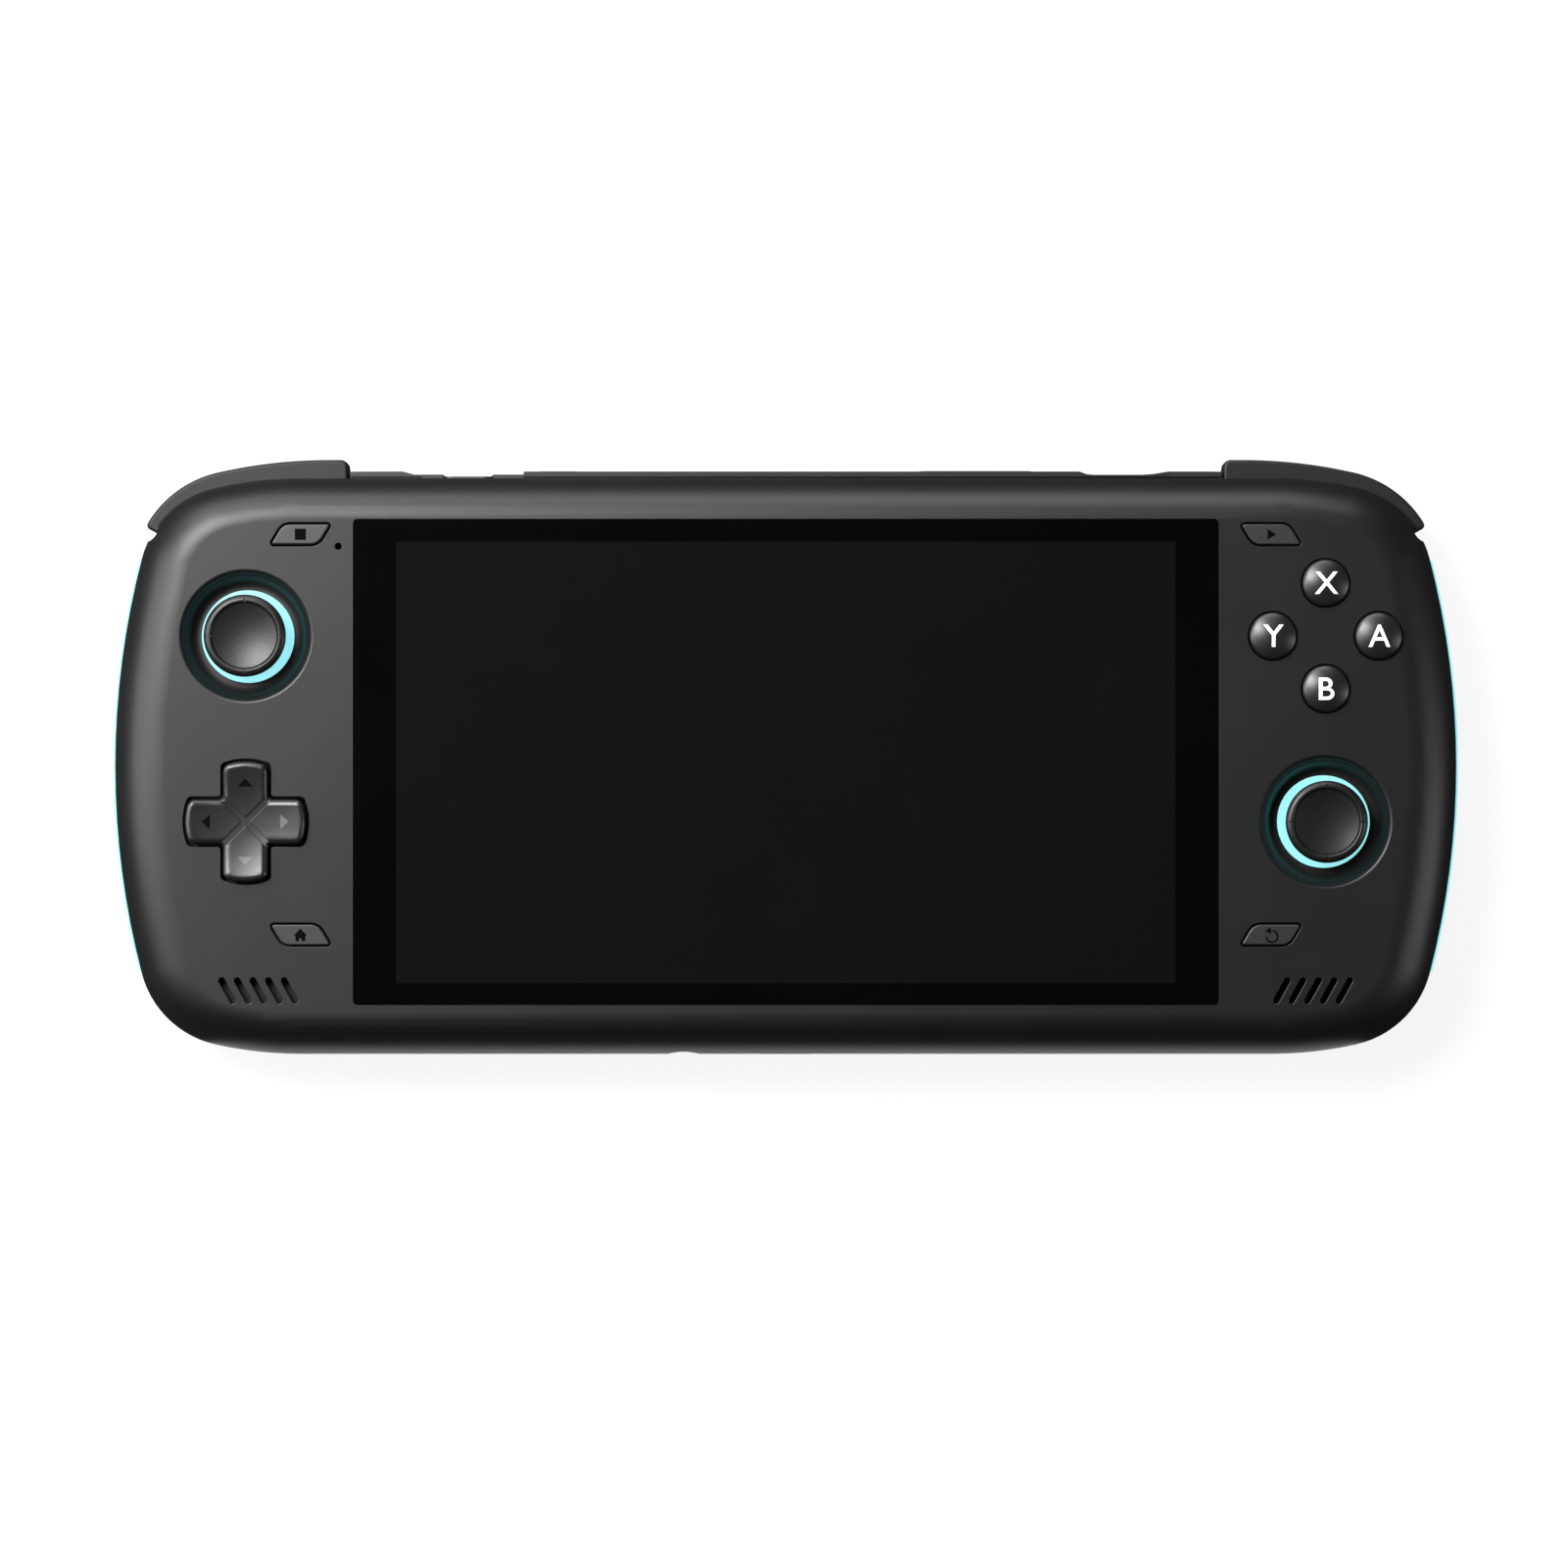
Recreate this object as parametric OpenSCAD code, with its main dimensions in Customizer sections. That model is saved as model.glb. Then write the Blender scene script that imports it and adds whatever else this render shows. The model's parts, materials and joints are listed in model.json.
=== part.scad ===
// Handheld game console lying on its back.
// +X runs to the right of the screen, +Y to the top edge, +Z out of the screen.
// The origin is under the middle of the console, on the plane that its two grips rest on.

/* [Body] */
// Width over the sides
body_w = 225; // [223:0.5:227]
// Height of the front shell
face_h = 96.6; // [96:0.2:97.4]
// Thickness from the back plane to the front face
body_t = 17; // [16.8:0.1:17.4]
// How far the grips swell below the back plane
grip_drop = 4; // [3.5:0.5:4.5]
// How far the rear shell's top edge stands above the front shell's
top_step = 1.16; // [1:0.02:1.3]

/* [Screen] */
// Width of the cover glass
glass_w = 143.8; // [142:0.2:144.4]
// Height of the cover glass
glass_h = 80.7; // [79:0.1:81.2]

/* [Controls] */
// Distance of the control columns from the middle
control_x = 89.8; // [89:0.1:90.4]
// Height of the upper controls above the middle
upper_y = 20.1; // [19.5:0.1:20.6]
// Height of the lower controls
lower_y = -10.8; // [-11.3:0.1:-10.3]
// Diameter of a face button
face_button_d = 7.8; // [7.2:0.1:8.2]
// Distance of a face button from the middle of its diamond
face_button_reach = 8.8; // [8.4:0.1:9.2]
// Width of the direction pad over its arms
dpad_w = 20; // [19:0.1:20.6]
// Width of one arm of the direction pad
dpad_arm = 7.4; // [7:0.1:7.8]
// Diameter of a thumb stick's cap
stick_d = 13.7; // [13:0.1:14]
// Height of a face button above the front face
face_rise = 1.7; // [1.4:0.1:2]

/* [Hidden] */
$fn = 48;

// Levels along Z
back_z = grip_drop;
front_z = back_z + body_t;
seam_z = front_z - 8.5;
wall = 1.8;
inner_front_z = front_z - wall;
inner_back_z = back_z + wall;

// Outline of the shells: a bowed side, a tight corner, a long shoulder and a straight edge
half_w = body_w / 2;
half_h = face_h / 2;
face_y = -1.52;
side_r = 138;
corner_r = 16.5;
corner_a0 = 14.6;
corner_a1 = 77.5;
front_edge = 7.2;
front_side_soft = 2;
rear_edge = 7;
rear_side_soft = 4;
rear_power = 2.6;
side_n = 8;
corner_n = 13;
shoulder_n = 6;
rear_top_h = half_h + top_step;
top_wall_y = face_y + rear_top_h;
bottom_wall_y = face_y - half_h;

// Grip swells on the back
grip_x = 94;
grip_y = -8;
grip_rx = 21;
grip_ry = 37;
spine_x = 56;
spine_u = [0.06, 0.3, 0.42, 0.53, 0.63, 0.72, 0.81, 0.9];

// Bumpers and triggers, drawn for the left side and mirrored
bumper_top_y = 49.92;
bumper_end_x = -73.5;
bumper_bend_x = -76.66;
bumper_ra = 84.6;
bumper_rb = 18.56;
bumper_a = 12.8;
bumper_a1 = 61.3;
bumper_depth = 6;
bumper_z0 = 8.2;
bumper_z1 = seam_z - 0.3;
bumper_pin = [-77, 45.4];
bumper_pin_r = 0.85;
pocket_depth = 7.6;
pocket_gap = 0.4;
pocket_a1 = 65.5;
liner_t = 1.4;
notch = [-107.1, 38.24];
notch_r = 2.15;
notch_wall = 1.4;
trigger_a1 = 30;
trigger_pocket_a1 = 38;
trigger_min_t = 0.8;
trigger_bend_x = -87.9;
trigger_bow = 0.1;
trigger_pin = [44.6, 6.6];
trigger_pin_r = 0.6;
trigger_pin_x0 = -98;
trigger_pin_x1 = -71.6;
pin_wall = 2;
trigger_slot = [-92, -82.8];
trigger_slot_z = 3.4;
lug_x = [-91.6, -88.4];
// Height, outer offset and inner face of each section of a trigger
trigger_sections = [[1.2, 2.8, 45.3], [2.4, 1.4, 44.6], [4, 0.6, 44], [6, 0.5, 43.7], [7.6, 0.9, 43.7]];

// Side light strips
strip_out = 0.35;
strip_in = 1.2;
strip_h = 2;
strip_gap = 0.1;

// Screen stack
glass_y = -0.85;
glass_t = 1.15;
glass_r = 0.8;
ledge = 1.6;
panel_t = 1.9;
frame_z = 16.8;
frame_t = 1;
frame_w = 148;
frame_hh = 84;

// Thumb sticks
stick_pivot_z = 11.5;
well_r = 11;
well_lip_r = 0.75;
well_z = front_z - 3.9;
ring_r = 7.72;
ring_hole_r = 6.3;
ring_t = 1.4;
cap_z0 = front_z + 1;
cap_z1 = front_z + 2.8;
dome_r = 7.4;
dome_t = 1;
neck_r = 3;
shaft_r = 1.1;
stick_box = 13;
stick_box_z = 12.4;
stick_post = 7.4;
stick_clear_r = 12;
trunnion_r = 0.8;
running = 0.05;

// Buttons
button_gap = 0.2;
flange_w = 0.7;
flange_t = 0.9;
face_skirt_z = 16.5;
board_z = 12.6;
board_t = 1;
membrane_t = 0.7;
menu_x = 80.7;
menu_upper_y = 37;
menu_lower_y = -29.6;
menu_w = 9.9;
menu_h = 3.35;
menu_lean = 2;
menu_r_full = 2.2;
menu_r_tight = 0.3;
menu_gap = 0.3;
menu_n = 6;
menu_rise = 0.25;
dpad_rise = 1.9;
dpad_gap = 0.45;
dpad_corner_r = 0.5;
dpad_inner_r = 1;
dpad_pivot_z = 16.8;
dpad_flange_z = 16.8;

// Openings in the front face
mic = [-74.4, 35];
mic_r = 0.55;
slot_x = 87.7;
slot_y = -38.9;
slot_pitch = 2.6;
slot_w = 1;
slot_h = 3.8;
slot_lean = 2.1;
slot_count = 5;

// Top edge
plate_x = 66.2;
plate_t = 2.2;
plate_z0 = 6.1;
plate_z1 = 12.9;
top_z = 9;
vent_x = -11;
vent_pitch = 4.08;
vent_count = 8;
vent_w = 2.2;
vent_z0 = 6.8;
vent_z1 = 11.2;
power_x = -53.5;
power_w = 8;
volume_x = 31.9;
volume_w = 19;
key_h = 2.6;
key_stop = 3.2;
volume_pin_y = 4.5;
volume_pin_r = 0.5;
light_x = -38.3;
light_w = 6;
video_x = 55.1;
video_w = 6.6;
video_h = 3.2;
scoop_depth = 0.55;
scoop_z = 9;
power_scoop = 1.15;

// Bottom edge
usb_z = 9.75;
usb_w = 8.94;
usb_h = 3.2;
usb_depth = 7.3;
jack_x = -17.1;
jack_z = 9;
jack_r = 1.8;
jack_nose_r = 2.9;
jack_depth = 12;
jack_scoop_r = 8;
jack_scoop_depth = 0.5;

// Back
rear_button_x = 64;
rear_button_y = 2;
rear_button_w = 6;
rear_button_l = 13;
rear_button_rise = 0.8;
grille_y = [3.5, 36.5];
grille_x = [-30, 8];
grille_pitch = 4;
grille_w = 1.8;

// Inside
fan = [-11, 20];
fan_z0 = inner_back_z;
fan_z1 = 12.6;
fan_r = 15;
fan_blades = 19;
screws = [[68, 42.4], [68, -44.9], [105, -14]];
screw_r = 0.75;
screw_head_r = 1.7;
boss_r = 2.2;
boss_top_z = 17.5;
screw_end_z = 16.4;
frame_screw_at = [[72.6, 38.5], [72.6, -40]];
frame_screw_r = 0.65;
board_post_at = [[-98, -31], [-77, -8], [98, 37], [77, 12]];
stick_centres = [[-control_x, upper_y], [control_x, lower_y]];
dpad_centre = [-control_x, lower_y];
face_centre = [control_x, upper_y];

// Points and rings

function dir(a) = [cos(a), sin(a)];
function up(a) = [-sin(a), cos(a)];
function arc(c, r, a0, a1, n) = [for (i = [0:n - 1]) c + r * dir(a0 + (a1 - a0) * i / n)];
function arc_up(c, r, a0, a1, n) = [for (i = [0:n - 1]) c + r * up(a0 + (a1 - a0) * i / n)];
function flip(p, sx, sy) = [for (q = p) [q.x * sx, q.y * sy]];
function reversed(p) = [for (i = [len(p) - 1:-1:0]) p[i]];
function skip_first(p) = [for (i = [1:len(p) - 1]) p[i]];
function skip_last(p) = [for (i = [0:len(p) - 2]) p[i]];
function smooth(u) = let (v = min(1, max(0, u))) v * v * (3 - 2 * v);

// One quarter of the outline, set in by d, from the side's middle to the straight edge
function quarter(hh, d) =
    let (
        c1 = [half_w - side_r, 0],
        c2 = c1 + (side_r - corner_r) * dir(corner_a0),
        shoulder_r = (hh - c2.y - corner_r * sin(corner_a1)) / (1 - sin(corner_a1)),
        c3 = c2 + (corner_r - shoulder_r) * dir(corner_a1)
    )
    concat(
        arc(c1, side_r - d, 0, corner_a0, side_n),
        arc(c2, corner_r - d, corner_a0, corner_a1, corner_n),
        arc(c3, shoulder_r - d, corner_a1, 90, shoulder_n),
        [c3 + (shoulder_r - d) * dir(90)]
    );

// The whole outline about the middle of the front shell, with its own height above and below
function outline(top_hh, low_hh, d) =
    let (t = quarter(top_hh, d), l = quarter(low_hh, d))
    concat(
        t,
        reversed(flip(t, -1, 1)),
        skip_first(flip(l, -1, -1)),
        skip_last(reversed(flip(l, 1, -1)))
    );

function squeezed(p, dx) = [for (q = p) [q.x * (1 - dx / half_w), q.y]];
function lifted(p, z) = [for (q = p) [q.x, q.y + face_y, z]];

// Depth of a grip swell at a place on the back
function swell(q) =
    let (r2 = pow((abs(q.x) - grip_x) / grip_rx, 2) + pow((q.y - grip_y) / grip_ry, 2))
    grip_drop * smooth((1 - r2) * 1.6);

function front_rings(n) = [
    for (i = [0:n])
        let (t = 90 * i / n, in = 1 - cos(t))
        lifted(
            squeezed(outline(half_h, half_h, front_edge * in), front_side_soft * in),
            seam_z + (front_z - seam_z) * sin(t)
        )
];

function rear_edge_ring(t) =
    let (in = 1 - pow(cos(t), 2 / rear_power))
    squeezed(outline(rear_top_h, half_h, rear_edge * in), rear_side_soft * in);

function spine_point(q) = [min(spine_x, max(-spine_x, q.x)), 0];

function rear_rings(n) =
    let (rim = rear_edge_ring(90))
    concat(
        [
            for (u = spine_u)
                [for (q = rim) let (p = spine_point(q) + (q - spine_point(q)) * u)
                    [p.x, p.y + face_y, back_z - swell([p.x, p.y + face_y])]]
        ],
        [
            for (i = [n:-1:0])
                let (s = pow(sin(90 * i / n), 2 / rear_power))
                [for (q = rear_edge_ring(90 * i / n))
                    [q.x, q.y + face_y,
                     seam_z - (seam_z - back_z) * s - swell([q.x, q.y + face_y]) * s * s]]
        ]
    );

// The outer edge of the left bumper set in by d, from its inner end x to the angle a1
function bumper_edge(d, x, a1, n = 1) =
    let (
        c1 = [bumper_bend_x, bumper_top_y - bumper_ra],
        c2 = c1 + (bumper_ra - bumper_rb) * up(bumper_a)
    )
    concat(
        [[x, bumper_top_y - d]],
        arc_up(c1, bumper_ra - d, 0, bumper_a, 4 * n),
        arc_up(c2, bumper_rb - d, bumper_a, a1, 9 * n),
        [c2 + (bumper_rb - d) * up(a1)]
    );

function bumper_band(d0, d1, x, a1, n = 1) =
    concat(bumper_edge(d0, x, a1, n), reversed(bumper_edge(d1, x, a1, n)));

// General shapes

// Solid through rings of points that run anticlockwise seen from above, from the lowest ring up
module loft(rings) {
    n = len(rings[0]);
    m = len(rings);
    polyhedron(
        points = [for (r = rings) each r],
        faces = concat(
            [[for (i = [0:n - 1]) i]],
            [for (k = [0:m - 2], i = [0:n - 1])
                let (a = k * n + i, b = k * n + (i + 1) % n) [a, a + n, b + n]],
            [for (k = [0:m - 2], i = [0:n - 1])
                let (a = k * n + i, b = k * n + (i + 1) % n) [a, b + n, b]],
            [[for (i = [n - 1:-1:0]) (m - 1) * n + i]]
        ),
        convexity = 6
    );
}

module outline_prism(top_hh, low_hh, d, z0, z1) {
    translate([0, face_y, z0])
        linear_extrude(z1 - z0)
            polygon(outline(top_hh, low_hh, d));
}

module round_rect(w, h, r) {
    union() {
        square([w - 2 * r, h], center = true);
        square([w, h - 2 * r], center = true);
        for (sx = [-1, 1], sy = [-1, 1])
            translate([sx * (w / 2 - r), sy * (h / 2 - r)])
                circle(r);
    }
}

module round_plate(w, h, r, z0, z1) {
    translate([0, 0, z0])
        linear_extrude(z1 - z0)
            round_rect(w, h, r);
}

module box(x, y, z) {
    translate([x[0], y[0], z[0]])
        cube([x[1] - x[0], y[1] - y[0], z[1] - z[0]]);
}

// Cylinder along Y from y0 to y1
module along_y(r, y0, y1) {
    translate([0, y1, 0])
        rotate([90, 0, 0])
            cylinder(r = r, h = y1 - y0);
}

// Cylinder along X from x0 to x1
module along_x(r, x0, x1) {
    translate([x0, 0, 0])
        rotate([0, 90, 0])
            cylinder(r = r, h = x1 - x0);
}

// Slot with round ends along X, cut through in Y
module slot_y(w, h, y0, y1) {
    r = h / 2;
    for (s = [-1, 1])
        translate([s * (w / 2 - r), 0, 0])
            along_y(r, y0, y1);
    box([-w / 2 + r, w / 2 - r], [y0, y1], [-r, r]);
}

module both_sides() {
    children();
    mirror([1, 0, 0])
        children();
}

module at(p) {
    translate([p.x, p.y, 0])
        children();
}

// Outline of a menu button: a leaning bar with two tight and two full corners, grown evenly
function menu_corner(p, a0, a1, r, grow) =
    let (n0 = dir(a0), n1 = dir(a1), c = p - r * (n0 + n1) / (1 + n0 * n1))
    [for (i = [0:menu_n]) c + (r + grow) * dir(a0 + (a1 - a0) * i / menu_n)];

module menu_outline(grow) {
    w = menu_w / 2;
    h = menu_h / 2;
    lean = atan2(menu_lean, menu_h);
    polygon(concat(
        menu_corner([w - menu_lean, -h], -90, -lean, menu_r_full, grow),
        menu_corner([w, h], -lean, 90, menu_r_tight, grow),
        menu_corner([-w + menu_lean, h], 90, 180 - lean, menu_r_full, grow),
        menu_corner([-w, -h], 180 - lean, 270, menu_r_tight, grow)
    ));
}

// Menu buttons lean away from the screen's corner nearest to them
module at_menu(i) {
    x = [-menu_x, menu_x, -menu_x, menu_x][i];
    y = [menu_upper_y, menu_upper_y, menu_lower_y, menu_lower_y][i];
    translate([x, y, 0])
        mirror([[0, 1, 1, 0][i], 0, 0])
            children();
}

function quarter_turn(p, k) = k == 0 ? p : quarter_turn([-p.y, p.x], k - 1);

// Outline of the direction pad, grown evenly: bowed ends, round outer corners and small inner ones
module dpad_outline(grow) {
    a = dpad_arm / 2 + grow;
    r = dpad_w / 2 + grow;
    outer_r = dpad_corner_r + grow;
    inner_r = dpad_inner_r - grow;
    c = [sqrt(pow(r - outer_r, 2) - pow(a - outer_r, 2)), a - outer_r];
    b = atan2(c.y, c.x);
    arm = concat(
        arc([c.x, -c.y], outer_r, -90, -b, 5),
        arc([0, 0], r, -b, b, 8),
        arc(c, outer_r, b, 90, 5),
        [[c.x, a]],
        arc([a + inner_r, a + inner_r], inner_r, 270, 180, 4),
        [[a, a + inner_r]]
    );
    polygon([for (k = [0:3], p = arm) quarter_turn(p, k)]);
}

module speaker_slots(z0, z1) {
    angle = atan2(slot_lean, slot_h);
    for (i = [0:slot_count - 1])
        translate([-slot_x + (i - (slot_count - 1) / 2) * slot_pitch, slot_y, z0])
            rotate([0, 0, angle])
                linear_extrude(z1 - z0)
                    union() {
                        square([slot_w, slot_h], center = true);
                        for (s = [-1, 1])
                            translate([0, s * slot_h / 2])
                                circle(slot_w / 2);
                    }
}

module jack_scoop() {
    translate([jack_x, bottom_wall_y - jack_scoop_r + jack_scoop_depth, 6.4])
        cylinder(r = jack_scoop_r, h = 10.4, $fn = 96);
}

// Shallow recess in the front shell over the charging socket
module usb_recess() {
    box([-4.1, 4.1], [bottom_wall_y - 1, bottom_wall_y + 0.2], [seam_z - 1, 15]);
}

module corner_notch() {
    both_sides()
        translate([notch.x, notch.y, -1])
            cylinder(r = notch_r, h = front_z + 2);
}

module at_screws() {
    for (p = screws, s = [-1, 1])
        translate([s * p.x, p.y, 0])
            children();
}

// Casing

module stick_cup() {
    rotate_extrude($fn = 96)
        polygon([
            [ring_r + 0.05, well_z - 1.6], [ring_r + 2.6, well_z - 1.6], [well_r + 1, well_z], [well_r + 1, inner_front_z],
            [well_r + 1, front_z - 0.6], [ring_r + 0.05, front_z - 0.6]
        ]);
}

module stick_well() {
    lip = [well_r - 0.5 + well_lip_r, front_z - well_lip_r];
    union() {
        rotate_extrude($fn = 96)
            polygon(concat(
                [
                    [0, well_z], [ring_r + 0.35, well_z], [well_r - 2.1, well_z + 0.2], [well_r - 1.5, well_z + 0.65],
                    [well_r - 1.05, well_z + 1.4], [well_r - 0.7, well_z + 2.1]
                ],
                arc(lip, well_lip_r, 180, 90, 6),
                [[lip.x, front_z], [lip.x, front_z + 1], [0, front_z + 1]]
            ));
        translate([0, 0, well_z - 2])
            cylinder(r = ring_r + 0.05, h = 3, $fn = 96);
    }
}

// Solid kept round the bumper pockets and the corner notches
module corner_walls(z0, z1) {
    both_sides() {
        translate([0, 0, z0])
            linear_extrude(z1 - z0)
                polygon(bumper_band(
                    -8, pocket_depth + liner_t, bumper_end_x + pocket_gap + pin_wall, pocket_a1 + 4
                ));
        translate([notch.x, notch.y, z0])
            cylinder(r = notch_r + notch_wall, h = front_z);
    }
}

module front_shell() {
    color([0.2, 0.2, 0.2])
    difference() {
        union() {
            difference() {
                loft(front_rings(10));
                difference() {
                    union() {
                        outline_prism(half_h, half_h, 3, seam_z - 1, 17);
                        outline_prism(half_h, half_h, 5.4, 16.9, inner_front_z);
                    }
                    corner_walls(seam_z - 2, seam_z + 1.6);
                }
            }
            for (c = stick_centres)
                at(c) {
                    stick_cup();
                    for (sx = [-1, 1], sy = [-1, 1])
                        translate([sx * stick_post, sy * stick_post, stick_box_z])
                            cylinder(r = 1.2, h = inner_front_z - stick_box_z + 0.1);
                }
            at_screws()
                translate([0, 0, seam_z])
                    cylinder(r = boss_r, h = boss_top_z - seam_z);
            at([screws[2].x, screws[2].y])
                translate([0, 0, boss_top_z - 1])
                    cylinder(r = boss_r, h = inner_front_z - boss_top_z + 1.1);
            at([-screws[2].x, screws[2].y])
                translate([0, 0, boss_top_z - 1])
                    cylinder(r = boss_r, h = inner_front_z - boss_top_z + 1.1);
            for (p = board_post_at)
                translate([p.x, p.y, board_z + board_t])
                    cylinder(r = 1.5, h = inner_front_z - board_z - board_t + 0.1);
            for (p = frame_screw_at, s = [-1, 1])
                translate([s * p.x, p.y, frame_z + frame_t])
                    cylinder(r = 1.6, h = inner_front_z - frame_z - frame_t + 0.1);
        }
        for (c = stick_centres)
            at(c)
                stick_well();
        translate([0, glass_y, 0]) {
            round_plate(glass_w + 0.2, glass_h + 0.2, glass_r, front_z - glass_t, front_z + 1);
            round_plate(glass_w - 2 * ledge, glass_h - 2 * ledge, glass_r, 16, front_z);
        }
        for (a = [0:90:270])
            at(face_centre + face_button_reach * dir(a))
                translate([0, 0, 16])
                    cylinder(d = face_button_d + 2 * button_gap, h = 8);
        at(dpad_centre)
            translate([0, 0, 16])
                linear_extrude(8)
                    dpad_outline(dpad_gap);
        for (i = [0:3])
            at_menu(i)
                translate([0, 0, 16])
                    linear_extrude(8)
                        menu_outline(menu_gap);
        both_sides()
            speaker_slots(16, front_z + 1);
        translate([mic.x, mic.y, 16])
            cylinder(r = mic_r, h = 8);
        at_screws()
            translate([0, 0, seam_z - 1])
                cylinder(r = screw_r + running, h = screw_end_z + 0.3 - seam_z + 1);
        for (p = frame_screw_at, s = [-1, 1])
            translate([s * p.x, p.y, frame_z])
                cylinder(r = frame_screw_r + running, h = 2.8);
        both_sides()
            at(bumper_pin)
                translate([0, 0, seam_z - 1])
                    cylinder(r = bumper_pin_r + 0.02, h = 3);
        corner_notch();
        jack_scoop();
        usb_recess();
    }
}

module bumper_pocket() {
    both_sides() {
        translate([0, 0, -1])
            linear_extrude(bumper_z0 + 1)
                polygon(bumper_band(-8, pocket_depth, bumper_end_x + pocket_gap, trigger_pocket_a1));
        translate([0, 0, bumper_z0 - 0.4])
            linear_extrude(seam_z)
                polygon(bumper_band(-8, pocket_depth, bumper_end_x + pocket_gap, pocket_a1));
    }
}

// Lugs that hold the trigger pins near their outer ends
module pin_lugs() {
    both_sides() {
        box(lug_x, [40.4, trigger_pin[0]], [5.2, 8]);
        translate([0, trigger_pin[0], trigger_pin[1]])
            along_x(1.4, lug_x[0], lug_x[1]);
    }
}

module rear_vents() {
    for (x = [grille_x[0]:grille_pitch:grille_x[1]])
        translate([x, (grille_y[0] + grille_y[1]) / 2, back_z - 1])
            linear_extrude(4)
                union() {
                    square([grille_w, grille_y[1] - grille_y[0] - grille_w], center = true);
                    for (s = [-1, 1])
                        translate([0, s * (grille_y[1] - grille_y[0] - grille_w) / 2])
                            circle(grille_w / 2);
                }
}

module top_openings(y0, y1, grow) {
    for (i = [0:vent_count - 1])
        translate([vent_x + (i - (vent_count - 1) / 2) * vent_pitch, 0, 0])
            box([-vent_w / 2, vent_w / 2], [y0, y1], [vent_z0, vent_z1]);
    translate([power_x, 0, top_z])
        slot_y(power_w + 2 * grow, key_h + 2 * grow, y0, y1);
    translate([volume_x, 0, top_z])
        slot_y(volume_w + 2 * grow, key_h + 2 * grow, y0, y1);
    translate([video_x, 0, top_z])
        box([-video_w / 2, video_w / 2] + grow * [-1, 1], [y0, y1], [-video_h / 2, video_h / 2] + grow * [-1, 1]);
    translate([light_x, 0, top_z])
        slot_y(light_w + 0.1, 1.1, y0, y1);
}

// Block that the top plate fills, grown by a fitting gap
module plate_block(grow) {
    h = plate_z1 - plate_z0 + 2 * grow;
    translate([0, 0, (plate_z0 + plate_z1) / 2])
        slot_y(2 * plate_x + 2 * grow, h, top_wall_y - plate_t - grow, top_wall_y + 2);
}

module rear_shell() {
    color([0.17, 0.17, 0.17]) {
        rear_casing();
        // pin that the volume rocker turns on
        translate([volume_x, top_wall_y - volume_pin_y, inner_back_z])
            cylinder(r = volume_pin_r, h = top_z + key_h / 2 + 0.4 - inner_back_z);
    }
}

module rear_casing() {
    difference() {
        union() {
            difference() {
                loft(rear_rings(7));
                difference() {
                    union() {
                        outline_prism(rear_top_h - 0.8, half_h, 2.4, 8, seam_z + 1);
                        outline_prism(rear_top_h, half_h, 4.8, inner_back_z, 8.1);
                    }
                    corner_walls(0, seam_z + 2);
                }
                for (s = [-1, 1])
                    translate([s * grip_x, grip_y, wall])
                        linear_extrude(6)
                            round_rect(17, 42, 6);
                bumper_pocket();
            }
            pin_lugs();
            at_screws()
                translate([0, 0, inner_back_z - 1])
                    cylinder(r = boss_r + 0.4, h = seam_z - inner_back_z + 1);
        }
        both_sides()
            translate([0, trigger_pin[0], trigger_pin[1]])
                along_x(trigger_pin_r + 0.02, trigger_pin_x0 - 1, trigger_pin_x1 + 0.1);
        // seat for the top plate, then what passes through the wall behind it
        plate_block(0.05);
        top_openings(top_wall_y - 6, top_wall_y, 0.3);
        box(
            [power_x - power_w / 2 - 1.1, power_x + power_w / 2 + 1.1],
            [top_wall_y - 8, top_wall_y - key_stop], [top_z - 2.6, top_z + 2.6]
        );
        box(
            [volume_x - volume_w / 2 - 1.1, volume_x + volume_w / 2 + 1.1],
            [top_wall_y - 8, top_wall_y - key_stop], [top_z - 2.6, top_z + 2.6]
        );
        for (s = [-1, 1])
            translate([s * (half_w - side_r), face_y, 0])
                rotate([0, 0, s > 0 ? -corner_a0 : 180 - corner_a0])
                    strip_ring(strip_in + strip_gap, 2, strip_h + strip_gap, 2 * corner_a0);
        translate([0, 0, usb_z])
            slot_y(usb_w + 0.3, usb_h + 0.3, bottom_wall_y - 1, bottom_wall_y + 7);
        translate([jack_x, 0, jack_z]) {
            along_y(jack_nose_r + 0.1, bottom_wall_y - 1, bottom_wall_y + 7);
            box([-3.2, 3.2], [bottom_wall_y + 3.4, bottom_wall_y + 9], [-2.6, 4]);
        }
        for (s = [-1, 1])
            translate([s * rear_button_x, rear_button_y, 0])
                round_plate(rear_button_w + 2 * button_gap, rear_button_l + 2 * button_gap, 2, 0, 7);
        rear_vents();
        at_screws() {
            translate([0, 0, -1])
                cylinder(r = screw_r + 0.25, h = seam_z + 2);
            translate([0, 0, -1])
                cylinder(r = screw_head_r + 0.2, h = inner_back_z + 0.6);
        }
        corner_notch();
        jack_scoop();
    }
}

// Finger scoop round the power key, and the one at the video socket
module top_scoops() {
    translate([power_x, top_wall_y, scoop_z])
        linear_extrude(front_z)
            polygon([
                [-11.2, 0.1], [-8.8, -power_scoop * 0.45], [-7.2, -power_scoop * 0.85], [-5.6, -power_scoop],
                [9.3, -power_scoop], [9.6, 0.1]
            ]);
    translate([video_x, top_wall_y, 0])
        linear_extrude(front_z)
            polygon([
                [-6.1, 0.1], [-4.6, -scoop_depth * 0.8], [-3.4, -scoop_depth], [4.6, -scoop_depth],
                [6.4, -scoop_depth * 0.8], [9.8, 0.1]
            ]);
}

module top_port_plate() {
    color([0.13, 0.13, 0.13])
    difference() {
        intersection() {
            loft(rear_rings(7));
            plate_block(0);
        }
        top_openings(top_wall_y - 6, top_wall_y + 1, button_gap);
        top_scoops();
    }
}

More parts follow.
